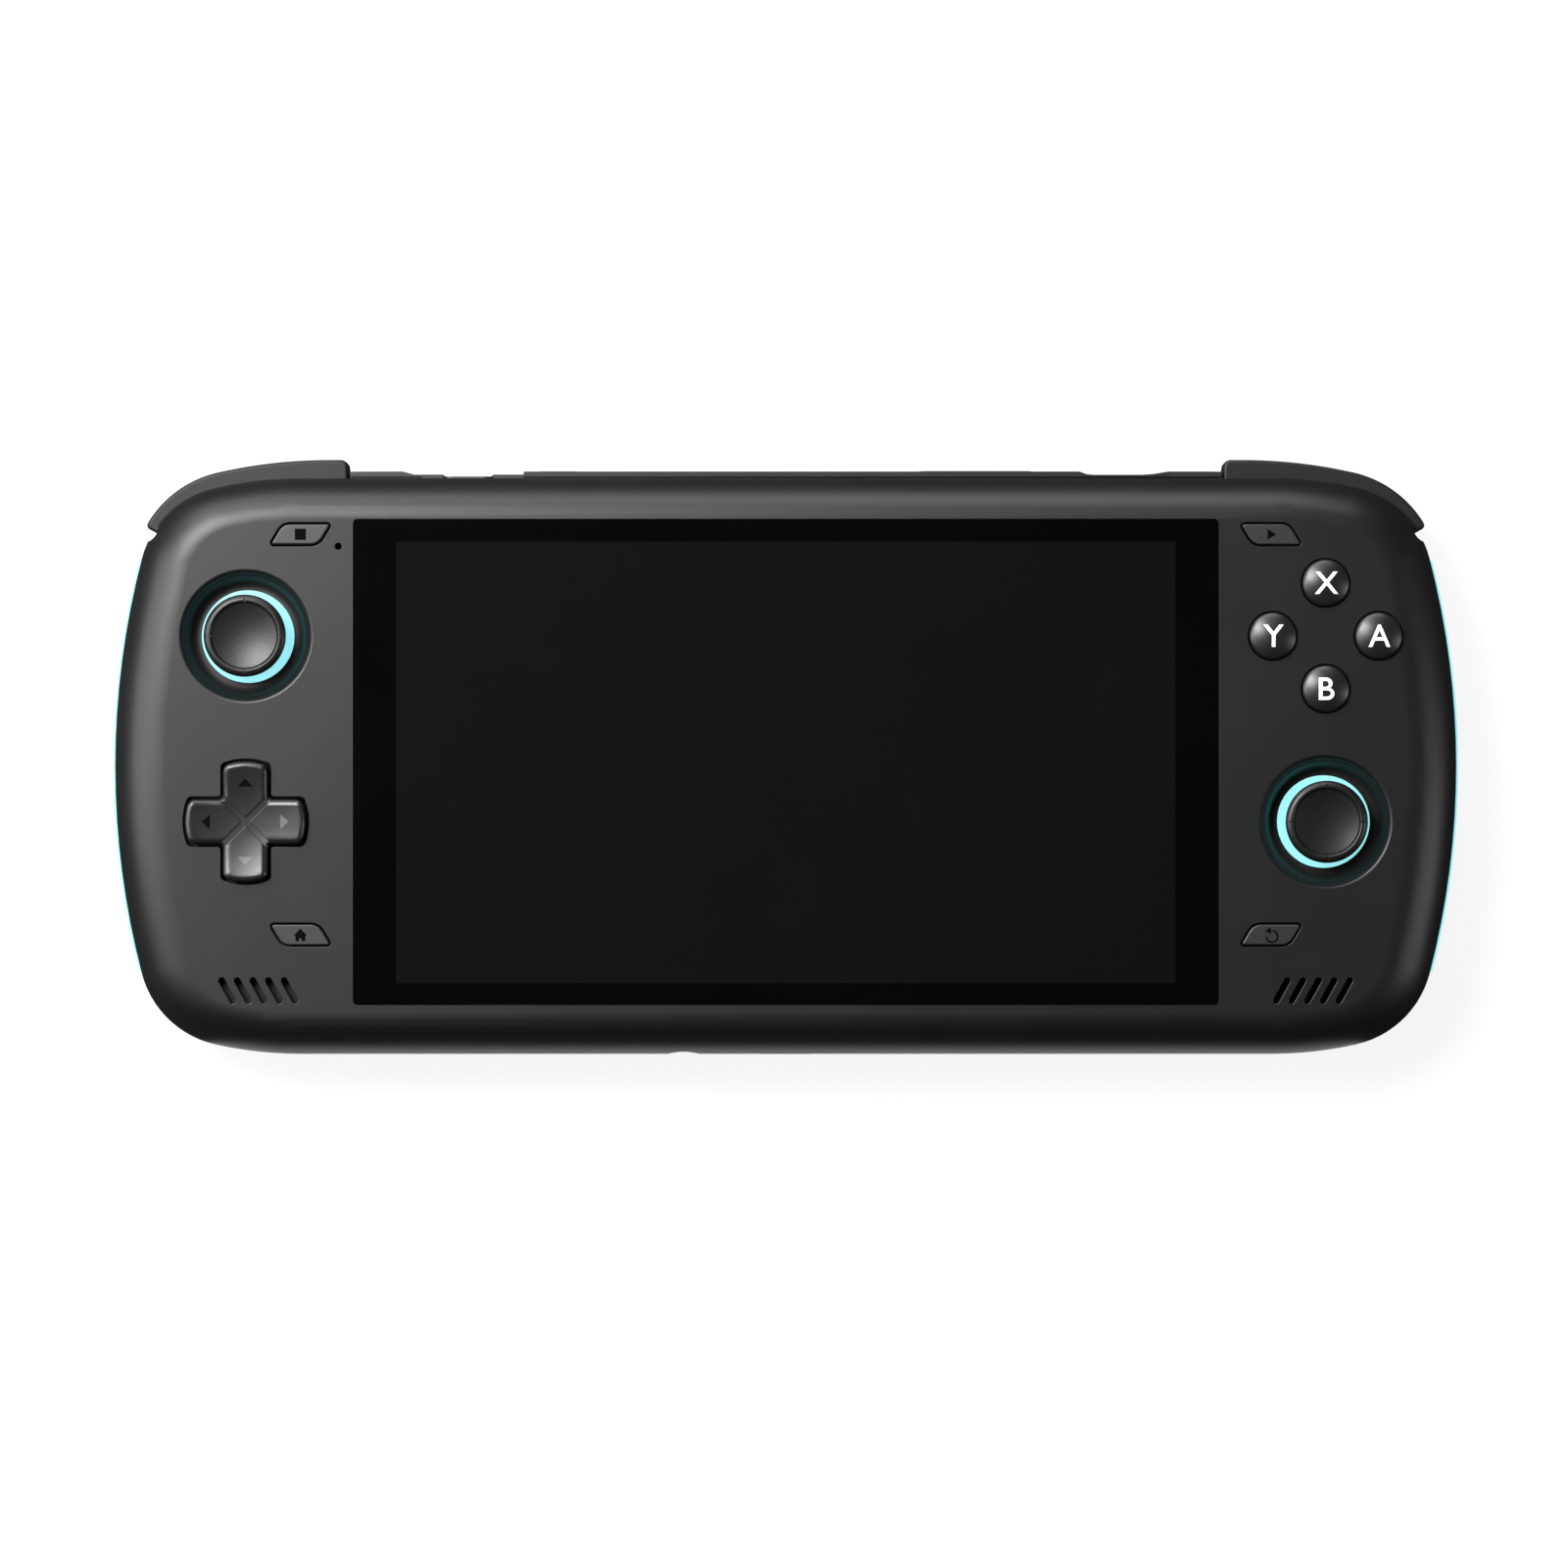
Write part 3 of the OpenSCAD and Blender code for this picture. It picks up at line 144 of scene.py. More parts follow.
def useModifier(piece, kind, **settings):
    takeUp(piece)
    modifier = piece.modifiers.new(kind.lower(), kind)
    for key, value in settings.items():
        setattr(modifier, key, value)
    bpy.ops.object.modifier_apply(modifier=modifier.name)


def soften(piece, width, angle, segments):
    useModifier(piece, "BEVEL", width=width * mm, segments=segments, limit_method="ANGLE",
                angle_limit=math.radians(angle), use_clamp_overlap=True)


def carve(piece, tool, how="DIFFERENCE"):
    useModifier(piece, "BOOLEAN", operation=how, object=tool, solver="EXACT")
    bpy.data.objects.remove(tool)


def smoothOut(piece, angle=32, **limits):
    takeUp(piece)
    bpy.ops.object.shade_smooth_by_angle(angle=math.radians(angle))
    useModifier(piece, "WEIGHTED_NORMAL", keep_sharp=True, **limits)


solidCare = {"weld": 0.002, "flat": 0.4}  # mm between points that merge, degrees of corners that go


def solidCopy(node, name):  # a solid's own shape, merged, so that its edges can be worked
    piece = bpy.data.objects.new(name, cadNodes[node].data.copy())
    piece.data.name = name
    scene.collection.objects.link(piece)
    edit(piece)
    bpy.ops.mesh.remove_doubles(threshold=solidCare["weld"] * mm)
    bpy.ops.mesh.customdata_custom_splitnormals_clear()
    bpy.ops.mesh.dissolve_limited(angle_limit=math.radians(solidCare["flat"]))
    objectMode()
    return piece


def copyPiece(piece, name, move):  # with its own mesh, moved by (x, y) in mm
    twin = bpy.data.objects.new(name, piece.data.copy())
    twin.data.name = name
    scene.collection.objects.link(twin)
    twin.matrix_world = Matrix.Translation((move[0] * mm, move[1] * mm, 0))
    settle(twin)
    return twin


def join(pieces, name):
    takeUp(pieces[0])
    for piece in pieces[1:]:
        piece.select_set(True)
    bpy.ops.object.join()
    pieces[0].name = pieces[0].data.name = name
    return pieces[0]


inlay = {"above": 0.5, "cuts": 3, "thick": 0.08, "smooth": 40}  # made this far above, then laid down


def hugTop(mark, below, rise):  # a flat mark follows the crown under it and sinks in a little
    edit(mark)
    bpy.ops.mesh.remove_doubles(threshold=hair)
    bpy.ops.mesh.quads_convert_to_tris()
    bpy.ops.mesh.subdivide(number_cuts=inlay["cuts"])
    objectMode()
    useModifier(mark, "SHRINKWRAP", target=below, wrap_method="PROJECT", use_project_z=True,
                use_negative_direction=True, use_positive_direction=True, offset=rise * mm)
    useModifier(mark, "SOLIDIFY", thickness=inlay["thick"] * mm, offset=-1)
    outward(mark)
    smoothOut(mark, inlay["smooth"])


def fit(piece, finish, node=None, body=None):
    objectMode()
    piece.data.materials.clear()
    piece.data.materials.append(finish)
    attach(piece, body or bodyOf[node])
    if node:
        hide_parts(node)
        dressed.add(node)


# finishes

class Wire:  # a socket that can stand in a sum
    def __init__(self, finish, socket):
        self.finish, self.socket = finish, socket

    def __add__(self, other):
        return self.finish.maths("ADD", self, other)

    def __radd__(self, other):
        return self.finish.maths("ADD", other, self)

    def __sub__(self, other):
        return self.finish.maths("SUBTRACT", self, other)

    def __rsub__(self, other):
        return self.finish.maths("SUBTRACT", other, self)

    def __mul__(self, other):
        return self.finish.maths("MULTIPLY", self, other)

    def __rmul__(self, other):
        return self.finish.maths("MULTIPLY", other, self)

    def __truediv__(self, other):
        return self.finish.maths("DIVIDE", self, other)

    def __lt__(self, other):
        return self.finish.maths("LESS_THAN", self, other)

    def __gt__(self, other):
        return self.finish.maths("GREATER_THAN", self, other)

    def __abs__(self):
        return self.finish.maths("ABSOLUTE", self)


class Finish:
    def __init__(self, name):
        self.material = bpy.data.materials.new(name)
        self.material.use_nodes = True
        self.tree = self.material.node_tree
        self.tree.nodes.clear()
        self.at = self.add("TexCoord", out="Object")

    def add(self, kind, settings=None, values=None, out=0):  # any node: settings first, then its sockets
        node = self.tree.nodes.new("ShaderNode" + kind)
        for key, value in (settings or {}).items():
            setattr(node, key, value)
        for key, value in (values or {}).items():
            if isinstance(value, Wire):
                self.tree.links.new(value.socket, node.inputs[key])
            else:
                node.inputs[key].default_value = value
        return Wire(self, node.outputs[out]) if len(node.outputs) else None

    def maths(self, operation, a, b=0.0):
        return self.add("Math", {"operation": operation}, {0: a, 1: b})

    def mix(self, a, b, share):
        return self.add("Mix", {"data_type": "RGBA"}, {0: share, 6: a, 7: b}, out=2)

    def shades(self, colour, low, high, pattern):  # one colour, between two shares of its strength
        return self.mix(tint(colour, low), tint(colour, high), pattern)

    def noise(self, size, detail=2.0, rough=0.5, at=None):  # size in mm
        return self.add("TexNoise", None, {"Vector": at or self.at, "Scale": 1 / (size * mm),
                                           "Detail": detail, "Roughness": rough})

    def stretched(self, x, y, z):
        return self.add("Mapping", None, {"Vector": self.at, "Scale": (x, y, z)})

    def axes(self):
        parts = self.add("SeparateXYZ", None, {"Vector": self.at}).socket.node
        return [Wire(self, parts.outputs[i]) for i in range(3)]

    def bump(self, height, strength, depth):  # depth in mm
        return self.add("Bump", None, {"Height": height, "Strength": strength, "Distance": depth * mm})

    def surface(self, **values):  # a socket's name, with _ for each space
        sockets = {key.replace("_", " "): value for key, value in values.items()}
        self.add("OutputMaterial", None, {"Surface": self.add("BsdfPrincipled", None, sockets)})
        return self.material


def tint(colour, share):
    return [min(1, c * share) for c in colour] + [1]


def swing(pattern, size):  # half a size up or down
    return (pattern - 0.5) * size


white = (1, 1, 1)
plasticLook = {"broad": 16, "share": 0.5, "broadShine": 0.08, "fineShine": 0.1, "relief": 0.1}


def moulded(name, colour, rough, grain=0.22, depth=0.3, uneven=0.1, **more):  # fine-grained plastic
    f = Finish(name)
    d = plasticLook
    fine = f.noise(grain, detail=3.0, rough=0.6)
    broad = f.noise(d["broad"], detail=3.0)
    base = f.shades(colour, 1 - uneven, 1 + uneven, broad * d["share"] + fine * d["share"])
    shine = rough + swing(broad, d["broadShine"]) + swing(fine, d["fineShine"])
    relief = f.bump(fine, depth, grain * d["relief"])
    return f.surface(Base_Color=base, Roughness=shine, Normal=relief, **more)


polishLook = {"marks": 3.5, "swirl": 0.4, "tones": (0.85, 1.15), "markShine": 0.1, "swirlShine": 0.03}


def polished(name, colour, rough, **more):  # gloss plastic with faint handling marks
    f = Finish(name)
    d = polishLook
    marks = f.noise(d["marks"], detail=4.0, rough=0.65)
    swirl = f.noise(d["swirl"], detail=2.0)
    base = f.shades(colour, *d["tones"], marks)
    shine = rough + swing(marks, d["markShine"]) + swing(swirl, d["swirlShine"])
    return f.surface(Base_Color=base, Roughness=shine, **more)


metalLook = {"lines": 1.6, "tones": (0.82, 1.08), "shine": 0.2, "strength": 0.15, "relief": 0.02}


def metal(name, colour, rough, along=(1, 1, 12)):  # drawn or cast metal, with lines along one axis
    f = Finish(name)
    d = metalLook
    lines = f.noise(d["lines"], detail=4.0, rough=0.7, at=f.stretched(*along))
    base = f.shades(colour, *d["tones"], lines)
    return f.surface(Base_Color=base, Metallic=1.0, Roughness=rough + swing(lines, d["shine"]),
                     Normal=f.bump(lines, d["strength"], d["relief"]))


stippleLook = {"dots": 0.24, "soft": 4, "dotShare": 0.6, "tones": (0.8, 1.25), "shine": 0.12,
               "strength": 0.16, "relief": 0.03, "specular": 0.3}


def rubber(name, colour, rough):  # fine stipple
    f = Finish(name)
    d = stippleLook
    dots = f.add("TexVoronoi", None, {"Vector": f.at, "Scale": 1 / (d["dots"] * mm)})
    soft = f.noise(d["soft"], detail=3.0)
    base = f.shades(colour, *d["tones"], dots * d["dotShare"] + soft * (1 - d["dotShare"]))
    return f.surface(Base_Color=base, Roughness=rough + swing(dots, d["shine"]),
                     Normal=f.bump(dots, d["strength"], d["relief"]), Specular_IOR_Level=d["specular"])


glowLook = {"patch": 9, "tones": (0.94, 1.04), "rough": 0.35,
            "unlit": ((0.05, 0.12, 0.13), (0.07, 0.15, 0.16))}


def glow(name, colour):  # lit light guide, a little brighter along some of its length
    f = Finish(name)
    d = glowLook
    along = f.noise(d["patch"], detail=2.0)
    lit = f.shades(colour, *d["tones"], along)
    unlit = f.mix(*(tint(tone, 1) for tone in d["unlit"]), along)
    return f.surface(Base_Color=unlit, Roughness=d["rough"], Emission_Color=lit, Emission_Strength=1.0)


glassLook = {"middle": (0.0, -0.93), "screen": (129.6, 73.4), "border": (0.0003, 0.0007), "faint": 30,
             "unlit": ((0.0021, 0.0026, 0.0024), (0.0026, 0.0031, 0.0029)), "smears": 12,
             "rough": 0.07, "smearShine": 0.06, "bend": 1.47}


def coverGlass(name):  # black border, and the screen's own dark tone inside it
    f = Finish(name)
    d = glassLook
    across, along = (abs(axis - middle * mm) < size / 2 * mm
                     for axis, middle, size in zip(f.axes(), d["middle"], d["screen"]))
    faint = f.noise(d["faint"], detail=2.0)
    border = f.shades(white, *d["border"], faint)
    screen = f.mix(*(tint(tone, 1) for tone in d["unlit"]), faint)
    smears = f.noise(d["smears"], detail=4.0, rough=0.6)
    return f.surface(Base_Color=f.mix(border, screen, across * along),
                     Roughness=d["rough"] + smears * d["smearShine"], IOR=d["bend"])


# the glow entries set a painted glow: teal emission on the well walls, in place of the rings' light
shellLook = {"fine": 0.22, "broad": 16, "fineShare": 0.6, "tones": (0.88, 1.12), "broadShine": 0.06,
             "fineShine": 0.1, "strength": 0.35, "relief": 0.024,
             "glow": (0.006, 0.036, 0.036), "glowBelow": 20.6, "glowReach": 9.5, "glowWide": 0.8,
             "glowCore": 0.1, "glowUp": 0.4, "glowEven": 0.28}


def shellPlastic(name, colour, rough, **more):  # satin plastic, with a painted teal glow on the well walls standing in for the rings' light
    f = Finish(name)
    d = shellLook
    fine = f.noise(d["fine"], detail=3.0, rough=0.6)
    broad = f.noise(d["broad"], detail=3.0)
    base = f.shades(colour, *d["tones"], broad * (1 - d["fineShare"]) + fine * d["fineShare"])
    x, y, z = f.axes()
    # painted light: a teal emission band around each well, as if cast by its light ring
    low = z < d["glowBelow"] * mm
    light = 0.0
    for wellX, wellY in stickSpots:
        dx, dy = x - wellX * mm, y - wellY * mm
        away = f.maths("SQRT", dx * dx + dy * dy)
        paintedGlowBand = f.maths("MAXIMUM", 1 - abs(away - d["glowReach"] * mm) / (d["glowWide"] * mm), 0.0)
        inward = dx * (-1 if wellX > 0 else 1) + dy * d["glowUp"]  # the painted glow is stronger towards the screen
        side = inward / (away + d["glowCore"] * mm)
        lean = f.maths("MAXIMUM", d["glowEven"] + (1 - d["glowEven"]) * side, 0.0)
        light = paintedGlowBand * paintedGlowBand * lean * low + light
    lit = f.mix(tint(d["glow"], 0), tint(d["glow"], 1), light)
    shine = rough + swing(broad, d["broadShine"]) + swing(fine, d["fineShine"])
    return f.surface(Base_Color=base, Roughness=shine, Normal=f.bump(fine, d["strength"], d["relief"]),
                     Emission_Color=lit, Emission_Strength=1.0, **more)


boardLook = {"greens": ((0.012, 0.09, 0.04), (0.016, 0.11, 0.05)), "tracks": (0.05, 0.2, 0.08),
             "scale": 260.0, "trackWide": 0.03, "cell": (0.8, 0.22), "offset": 0.5,
             "gold": (0.35, 0.3, 0.16), "speck": 0.8, "speckAbove": 0.68, "speckShare": 0.8,
             "rough": 0.35, "speckShine": 0.15}


def circuitBoard(name):
    f = Finish(name)
    d = boardLook
    first, second = (tint(green, 1) for green in d["greens"])
    wide, high = d["cell"]
    tracks = f.add("TexBrick", {"offset": d["offset"]},
                   {"Vector": f.at, "Color1": first, "Color2": second, "Mortar": tint(d["tracks"], 1),
                    "Scale": d["scale"], "Mortar Size": d["trackWide"],
                    "Brick Width": wide, "Row Height": high})
    specks = f.noise(d["speck"], detail=2.0)
    base = f.mix(tracks, tint(d["gold"], 1), (specks > d["speckAbove"]) * d["speckShare"])
    return f.surface(Base_Color=base, Roughness=d["rough"] + specks * d["speckShine"])


satin = {"Specular_IOR_Level": 0.33}
finishes = {  # by slot
    "shell": shellPlastic("satinCharcoal", (0.003, 0.003, 0.0031), 0.41, **satin),
    "rear_shell": moulded("backCharcoal", (0.006, 0.006, 0.0062), 0.46, grain=0.3, depth=0.4, **satin),
    "edge_plate": moulded("edgeBlack", (0.005, 0.005, 0.005), 0.42, grain=0.16, **satin),
    "keys": moulded("keyCharcoal", (0.012, 0.012, 0.0122), 0.41, grain=0.16, Specular_IOR_Level=0.42),
    "bumpers": moulded("bumperCharcoal", (0.0035, 0.0035, 0.0036), 0.52, grain=0.2, Specular_IOR_Level=0.26),
    "gloss_buttons": polished("buttonBlack", (0.005, 0.005, 0.005), 0.36, Specular_IOR_Level=0.45),
    "dpad": polished("padBlack", (0.007, 0.007, 0.007), 0.3, Specular_IOR_Level=0.42),
    "stick_rubber": rubber("stippledRubber", (0.004, 0.004, 0.004), 0.38),
    "light": glow("cyanGlow", (0.31, 0.8, 0.87)),
    "screen_glass": coverGlass("darkGlass"),
    "panel": polished("unlitPanel", (0.006, 0.007, 0.0065), 0.3),
    "frame_metal": metal("castFrame", (0.6, 0.6, 0.62), 0.45, (1, 1, 1)),
    "circuit_board": circuitBoard("greenBoard"),
    "battery_wrap": moulded("cellWrap", (0.02, 0.02, 0.021), 0.38, grain=1.2),
    "ribbon": polished("amberFilm", (0.45, 0.2, 0.03), 0.3),
    "steel": metal("brightSteel", (0.6, 0.6, 0.61), 0.3),
    "white_plastic": moulded("whiteMoulding", (0.7, 0.7, 0.69), 0.45, uneven=0.05),
    "silicone": moulded("greySilicone", (0.5, 0.5, 0.5), 0.6, grain=0.4, uneven=0.06),
    "black_plastic": moulded("innerBlack", (0.006, 0.006, 0.006), 0.55, Specular_IOR_Level=0.2),
}
smallFinishes = {  # letters, printed marks and the small window in the top edge; the pad's up and left arrows take the dark finish as painted shade, the down and right ones the pale finish as painted light
    "letter": moulded("letterWhite", (0.86, 0.87, 0.87), 0.35, grain=0.3, depth=0.05, uneven=0.03),
    # dark print for the menu keys' marks; on the pad's up and left arrows it is painted shade
    "darkPrintAndPaintedShade": moulded("blackPrintAndPaintedShade", (0.0015, 0.0015, 0.0015), 0.8, grain=0.15, Specular_IOR_Level=0.02),
    # painted light: the pad's down and right arrows, made pale as if lit
    "paintedLitArrow": polished("arrowPaintedLight", (0.05, 0.05, 0.05), 0.3, Specular_IOR_Level=0.45),
    "window": polished("smokedWindow", (0.03, 0.032, 0.032), 0.2),
}
print("finishes ready:", len(finishes) + len(smallFinishes))


# camera and studio

studio = {"over": (-0.29, -4.52), "level": 12.5, "away": 940.0, "frame": 263.16,  # mm
          "clip": 0.01, "aim": (0, 0, 0.01), "air": 0.025}
lamps = {  # place and size in metres, power in watts
    "keyLamp": ((-0.3, 0.28, 0.6), (0.3, 0.3), 10.2),
    "topLamp": ((-0.15, 0.6, 0.31), (0.86, 0.46), 6.5),
    "leftLamp": ((-0.56, 0.06, 0.37), (0.34, 0.5), 4.0),
    "rightLamp": ((0.62, -0.1, 0.27), (0.2, 0.45), 1.25),
}


def setCamera(d):
    objectMode()
    bpy.ops.object.select_all(action="DESELECT")
    x, y = d["over"]
    bpy.ops.object.camera_add(location=(x * mm, y * mm, (d["level"] + d["away"]) * mm), rotation=(0, 0, 0))
    camera = bpy.context.object
    camera.data.lens = camera.data.sensor_width * d["away"] / d["frame"]
    camera.data.clip_start = d["clip"]
    scene.camera = camera
    scene.view_settings.view_transform = "Standard"


def setLamp(name, place, size, power):
    objectMode()
    bpy.ops.object.light_add(type="AREA", location=place)
    light = bpy.context.object
    light.name = name
    light.data.shape = "RECTANGLE"
    light.data.size, light.data.size_y = size
    light.data.energy = power
    light.rotation_euler = (Vector(studio["aim"]) - Vector(place)).to_track_quat("-Z", "Y").to_euler()


def setAir(strength):
    scene.world = bpy.data.worlds.new("studioAir")
    scene.world.use_nodes = True
    air = scene.world.node_tree.nodes["Background"].inputs
    air["Color"].default_value = tint(white, 1)
    air["Strength"].default_value = strength


floorPlan = {"radius": 2.2, "drop": 0.00005, "sides": 96,  # metres
             "sweep": ((1.14, 0.05), (1.1, 0.12), (1.05, 0.25), (1.0, 1.2)),  # growth and rise
             "fibres": 2.0, "tones": (0.86, 0.9), "shown": 0.88}  # fibres in mm


def makeFloor(d):
    floor = start("studioFloor", "circle", vertices=d["sides"], radius=d["radius"], fill_type="NGON",
                  location=(0, 0, -d["drop"]))
    edit(floor)
    for grow, lift in d["sweep"]:  # sweeps up into a round backdrop
        extrude(z=lift / mm)
        bpy.ops.transform.resize(value=(grow, grow, 1), center_override=(0, 0, 0))
    bpy.ops.mesh.delete(type="ONLY_FACE")
    objectMode()
    f = Finish("paperWhite")
    path = f.add("LightPath").socket.node.outputs
    seen = f.maths("MAXIMUM", Wire(f, path["Is Camera Ray"]),
                   f.maths("MAXIMUM", Wire(f, path["Is Glossy Ray"]), Wire(f, path["Is Transmission Ray"])))
    fibres = f.shades(white, *d["tones"], f.noise(d["fibres"], detail=3.0))
    paper = f.add("BsdfDiffuse", None, {"Color": fibres})
    blank = f.add("Emission", None, {"Color": tint(white, 1), "Strength": 1.0})
    either = f.add("MixShader", None, {0: seen * d["shown"], 1: paper, 2: blank})
    f.add("OutputMaterial", None, {"Surface": either})
    floor.data.materials.append(f.material)


flagPlan = {"radius": 0.95, "high": 0.6, "sides": 64, "ringAt": 0.0001, "cardsAt": 0.0002,  # metres
            "cards": ((-0.25, 0, 0.3, 0.3), (0.25, 0, 0.3, 0.3), (0, 0.19, 0.8, 0.3), (0, -0.44, 1.2, 0.7)),
            "weave": 1.5, "tones": (0.004, 0.008), "rough": 0.9}  # weave in mm


def makeFlags(d):  # black cards that only reflections see, so that the rims stay dark as in the photo
    ring = start("flagRing", "circle", vertices=d["sides"], radius=d["radius"], fill_type="NOTHING",
                 location=(0, 0, d["ringAt"]))
    edit(ring, "EDGE")
    bpy.ops.mesh.extrude_edges_move(TRANSFORM_OT_translate={"value": (0, 0, d["high"])})
    objectMode()
    cards = [start("flagCard", "plane", size=1, location=(x, y, d["cardsAt"]), scale=(w, h, 1))
             for x, y, w, h in d["cards"]]
    flags = join([ring] + cards, "flags")
    f = Finish("flagBlack")
    cloth = f.shades(white, *d["tones"], f.noise(d["weave"], detail=2.0))
    flags.data.materials.append(f.surface(Base_Color=cloth, Roughness=d["rough"]))
    flags.visible_camera = flags.visible_diffuse = flags.visible_shadow = False
    flags.visible_transmission = False


setCamera(studio)
for name, (place, size, power) in lamps.items():
    setLamp(name, place, size, power)
setAir(studio["air"])
makeFloor(floorPlan)
makeFlags(flagPlan)
print("camera, lamps and floor set")


# shells

frontFace = {"level": 21.0, "rim": 0.13, "rimSteps": 3, "corner": 40, "wellReach": 12.2, "window": 74.0,
             "smooth": 34}


def makeFrontShell(d):
    shell = solidCopy("front_shell", "frontShell")

    def openingRim(a, b):  # openings in the flat face, but not the window or the wells' own lips
        inWell = any(math.hypot(a.x - x * mm, a.y - y * mm) < d["wellReach"] * mm for x, y in stickSpots)
        return atLevel(d["level"], a, b) and not inWell and abs(a.x) > d["window"] * mm

    edit(shell, "EDGE", openingRim, sharp=d["corner"])
    rollEdges(d["rim"], d["rimSteps"])
    smoothOut(shell, d["smooth"])
    fit(shell, finishes["shell"], "front_shell")


seamGap = {"y": 46.93, "z": 12.4, "wide": 0.3, "deep": 1.0, "long": 147.0}


def cutSeam(piece, d):  # dark line under the front shell's top edge
    carve(piece, box(0, d["y"], d["z"], d["long"], d["wide"], d["deep"]))


backFace = {"level": 4.0, "rim": 0.25, "rimSteps": 2, "corner": 40, "reach": 50, "flat": 71.5, "smooth": 34}


def makeBackShell(d):
    shell = solidCopy("rear_shell", "backShell")

    def slotRim(a, b):  # mouths of the slots and keys in the flat of the back
        return atLevel(d["level"], a, b) and max(abs(a.x), abs(b.x)) < d["reach"] * mm

    edit(shell, "EDGE", slotRim, sharp=d["corner"])
    rollEdges(d["rim"], d["rimSteps"])
    cutSeam(shell, seamGap)
    for side in (-1, 1):  # part the flat from the grips, so that its shading stays out of them
        edit(shell)
        bpy.ops.mesh.bisect(plane_co=(side * d["flat"] * mm, 0, 0), plane_no=(1, 0, 0))
    objectMode()
    middle = shell.vertex_groups.new(name="flatOfBack")
    inFlat = [v.index for v in shell.data.vertices if abs(v.co.x) < d["flat"] * mm + hair]
    middle.add(inFlat, 1.0, "REPLACE")
    smoothOut(shell, d["smooth"], vertex_group=middle.name)
    shell.vertex_groups.clear()
    fit(shell, finishes["rear_shell"], "rear_shell")


makeFrontShell(frontFace)
makeBackShell(backFace)
print("shells done")


# keys and covers that keep the solid's outline and get softened edges

softened = {  # node: piece, slot, width in mm, degrees of the corners to soften, steps
    "top_port_plate": ("edgePlate", "edge_plate", 0.12, 40, 2),
    "trigger_left": ("triggerLeft", "bumpers", 0.35, 45, 3),
    "trigger_right": ("triggerRight", "bumpers", 0.35, 45, 3),
    "select_button": ("selectKey", "keys", 0.3, 40, 4),
    "start_button": ("startKey", "keys", 0.3, 40, 4),
    "home_button": ("homeKey", "keys", 0.3, 40, 4),
    "back_button": ("backKey", "keys", 0.3, 40, 4),
    "rear_button_left": ("backPaddleLeft", "keys", 0.3, 40, 3),
    "rear_button_right": ("backPaddleRight", "keys", 0.3, 40, 3),
    "power_button": ("powerKey", "keys", 0.2, 40, 3),
    "volume_rocker": ("volumeKey", "keys", 0.25, 40, 3),
    "cover_glass": ("coverGlass", "screen_glass", 0.012, 40, 1),
    "light_ring_left": ("glowRingLeft", "light", 0.12, 40, 2),
    "light_ring_right": ("glowRingRight", "light", 0.12, 40, 2),
}
for node, (name, slot, width, angle, segments) in softened.items():
    piece = solidCopy(node, name)
    soften(piece, width, angle, segments)
    if node == "top_port_plate":
        cutSeam(piece, seamGap)
    smoothOut(piece)
    fit(piece, finishes[slot], node)
print("softened pieces:", len(softened))


# bumpers: the front and rear edges roll over, the pin's bore stays sharp

bumperPlan = {"front": 12.2, "rear": 8.2, "lift": 0.12, "roll": 0.55, "rearRoll": 0.3, "rollSteps": 4,
              "corner": 40, "pin": (77.0, 45.4), "pinReach": 1.5}


def makeBumper(side, d):
    word = "Left" if side < 0 else "Right"
    node = "bumper_" + word.lower()
    piece = solidCopy(node, "bumper" + word)

    def awayFromPin(p):
        return math.hypot(p.x - side * d["pin"][0] * mm, p.y - d["pin"][1] * mm) > d["pinReach"] * mm

    for vert in piece.data.vertices:  # a hair off the pocket's floor, so that it turns freely
        if vert.co.z < d["rear"] * mm + hair:
            vert.co.z += d["lift"] * mm
    for level, roll in ((d["front"], d["roll"]), (d["rear"] + d["lift"], d["rearRoll"])):
        edit(piece, "EDGE", lambda a, b: atLevel(level, a, b) and awayFromPin(a) and awayFromPin(b),
             sharp=d["corner"])
        rollEdges(roll, d["rollSteps"])
    smoothOut(piece)
    fit(piece, finishes["bumpers"], node)


for side in (-1, 1):
    makeBumper(side, bumperPlan)
print("bumpers done")


# direction pad

padPlan = {"at": (-89.8, -10.8), "span": 20.0, "arm": 7.4, "foot": 16.8, "top": 23.3, "bowCuts": 7,
           "rim": 0.95, "rimSteps": 5, "rimCorner": 30, "smooth": 22,
           "flange": (0.9, 0.9), "hollow": (10.0, 4.8, 18.4),
           "ears": (3.3, 1.6, 2.6), "earDrop": 0.6, "earSink": 0.1,
           "bore": 0.85, "boreLong": 10.0, "boreSides": 32, "mouth": 1.394,
           "past": 1.0,  # how far a cutter goes past a face
           "groove": (10.804, 1.1, 0.26), "grooveBand": 0.7, "grooveCorner": 42, "grooveRoll": 0.045,
           "grooveSteps": 2, "grid": 0.6, "gridShift": 0.37,
           "dish": 1.35, "dishReach": 11.0, "dishMiddle": 0.5, "dishSkin": 1.0,
           "arrowOut": 6.3, "arrowSize": (1.45, 0.9), "arrowRise": 0.015,
           # up and left arrows painted dark as painted shade, down and right ones pale as painted light
           "arrows": {"arrowUp": (0, "darkPrintAndPaintedShade"), "arrowLeft": (90, "darkPrintAndPaintedShade"),
                      "arrowDown": (180, "paintedLitArrow"), "arrowRight": (270, "paintedLitArrow")}}
crossEnds = ((1, 0), (0, 1), (-1, 0), (0, -1))


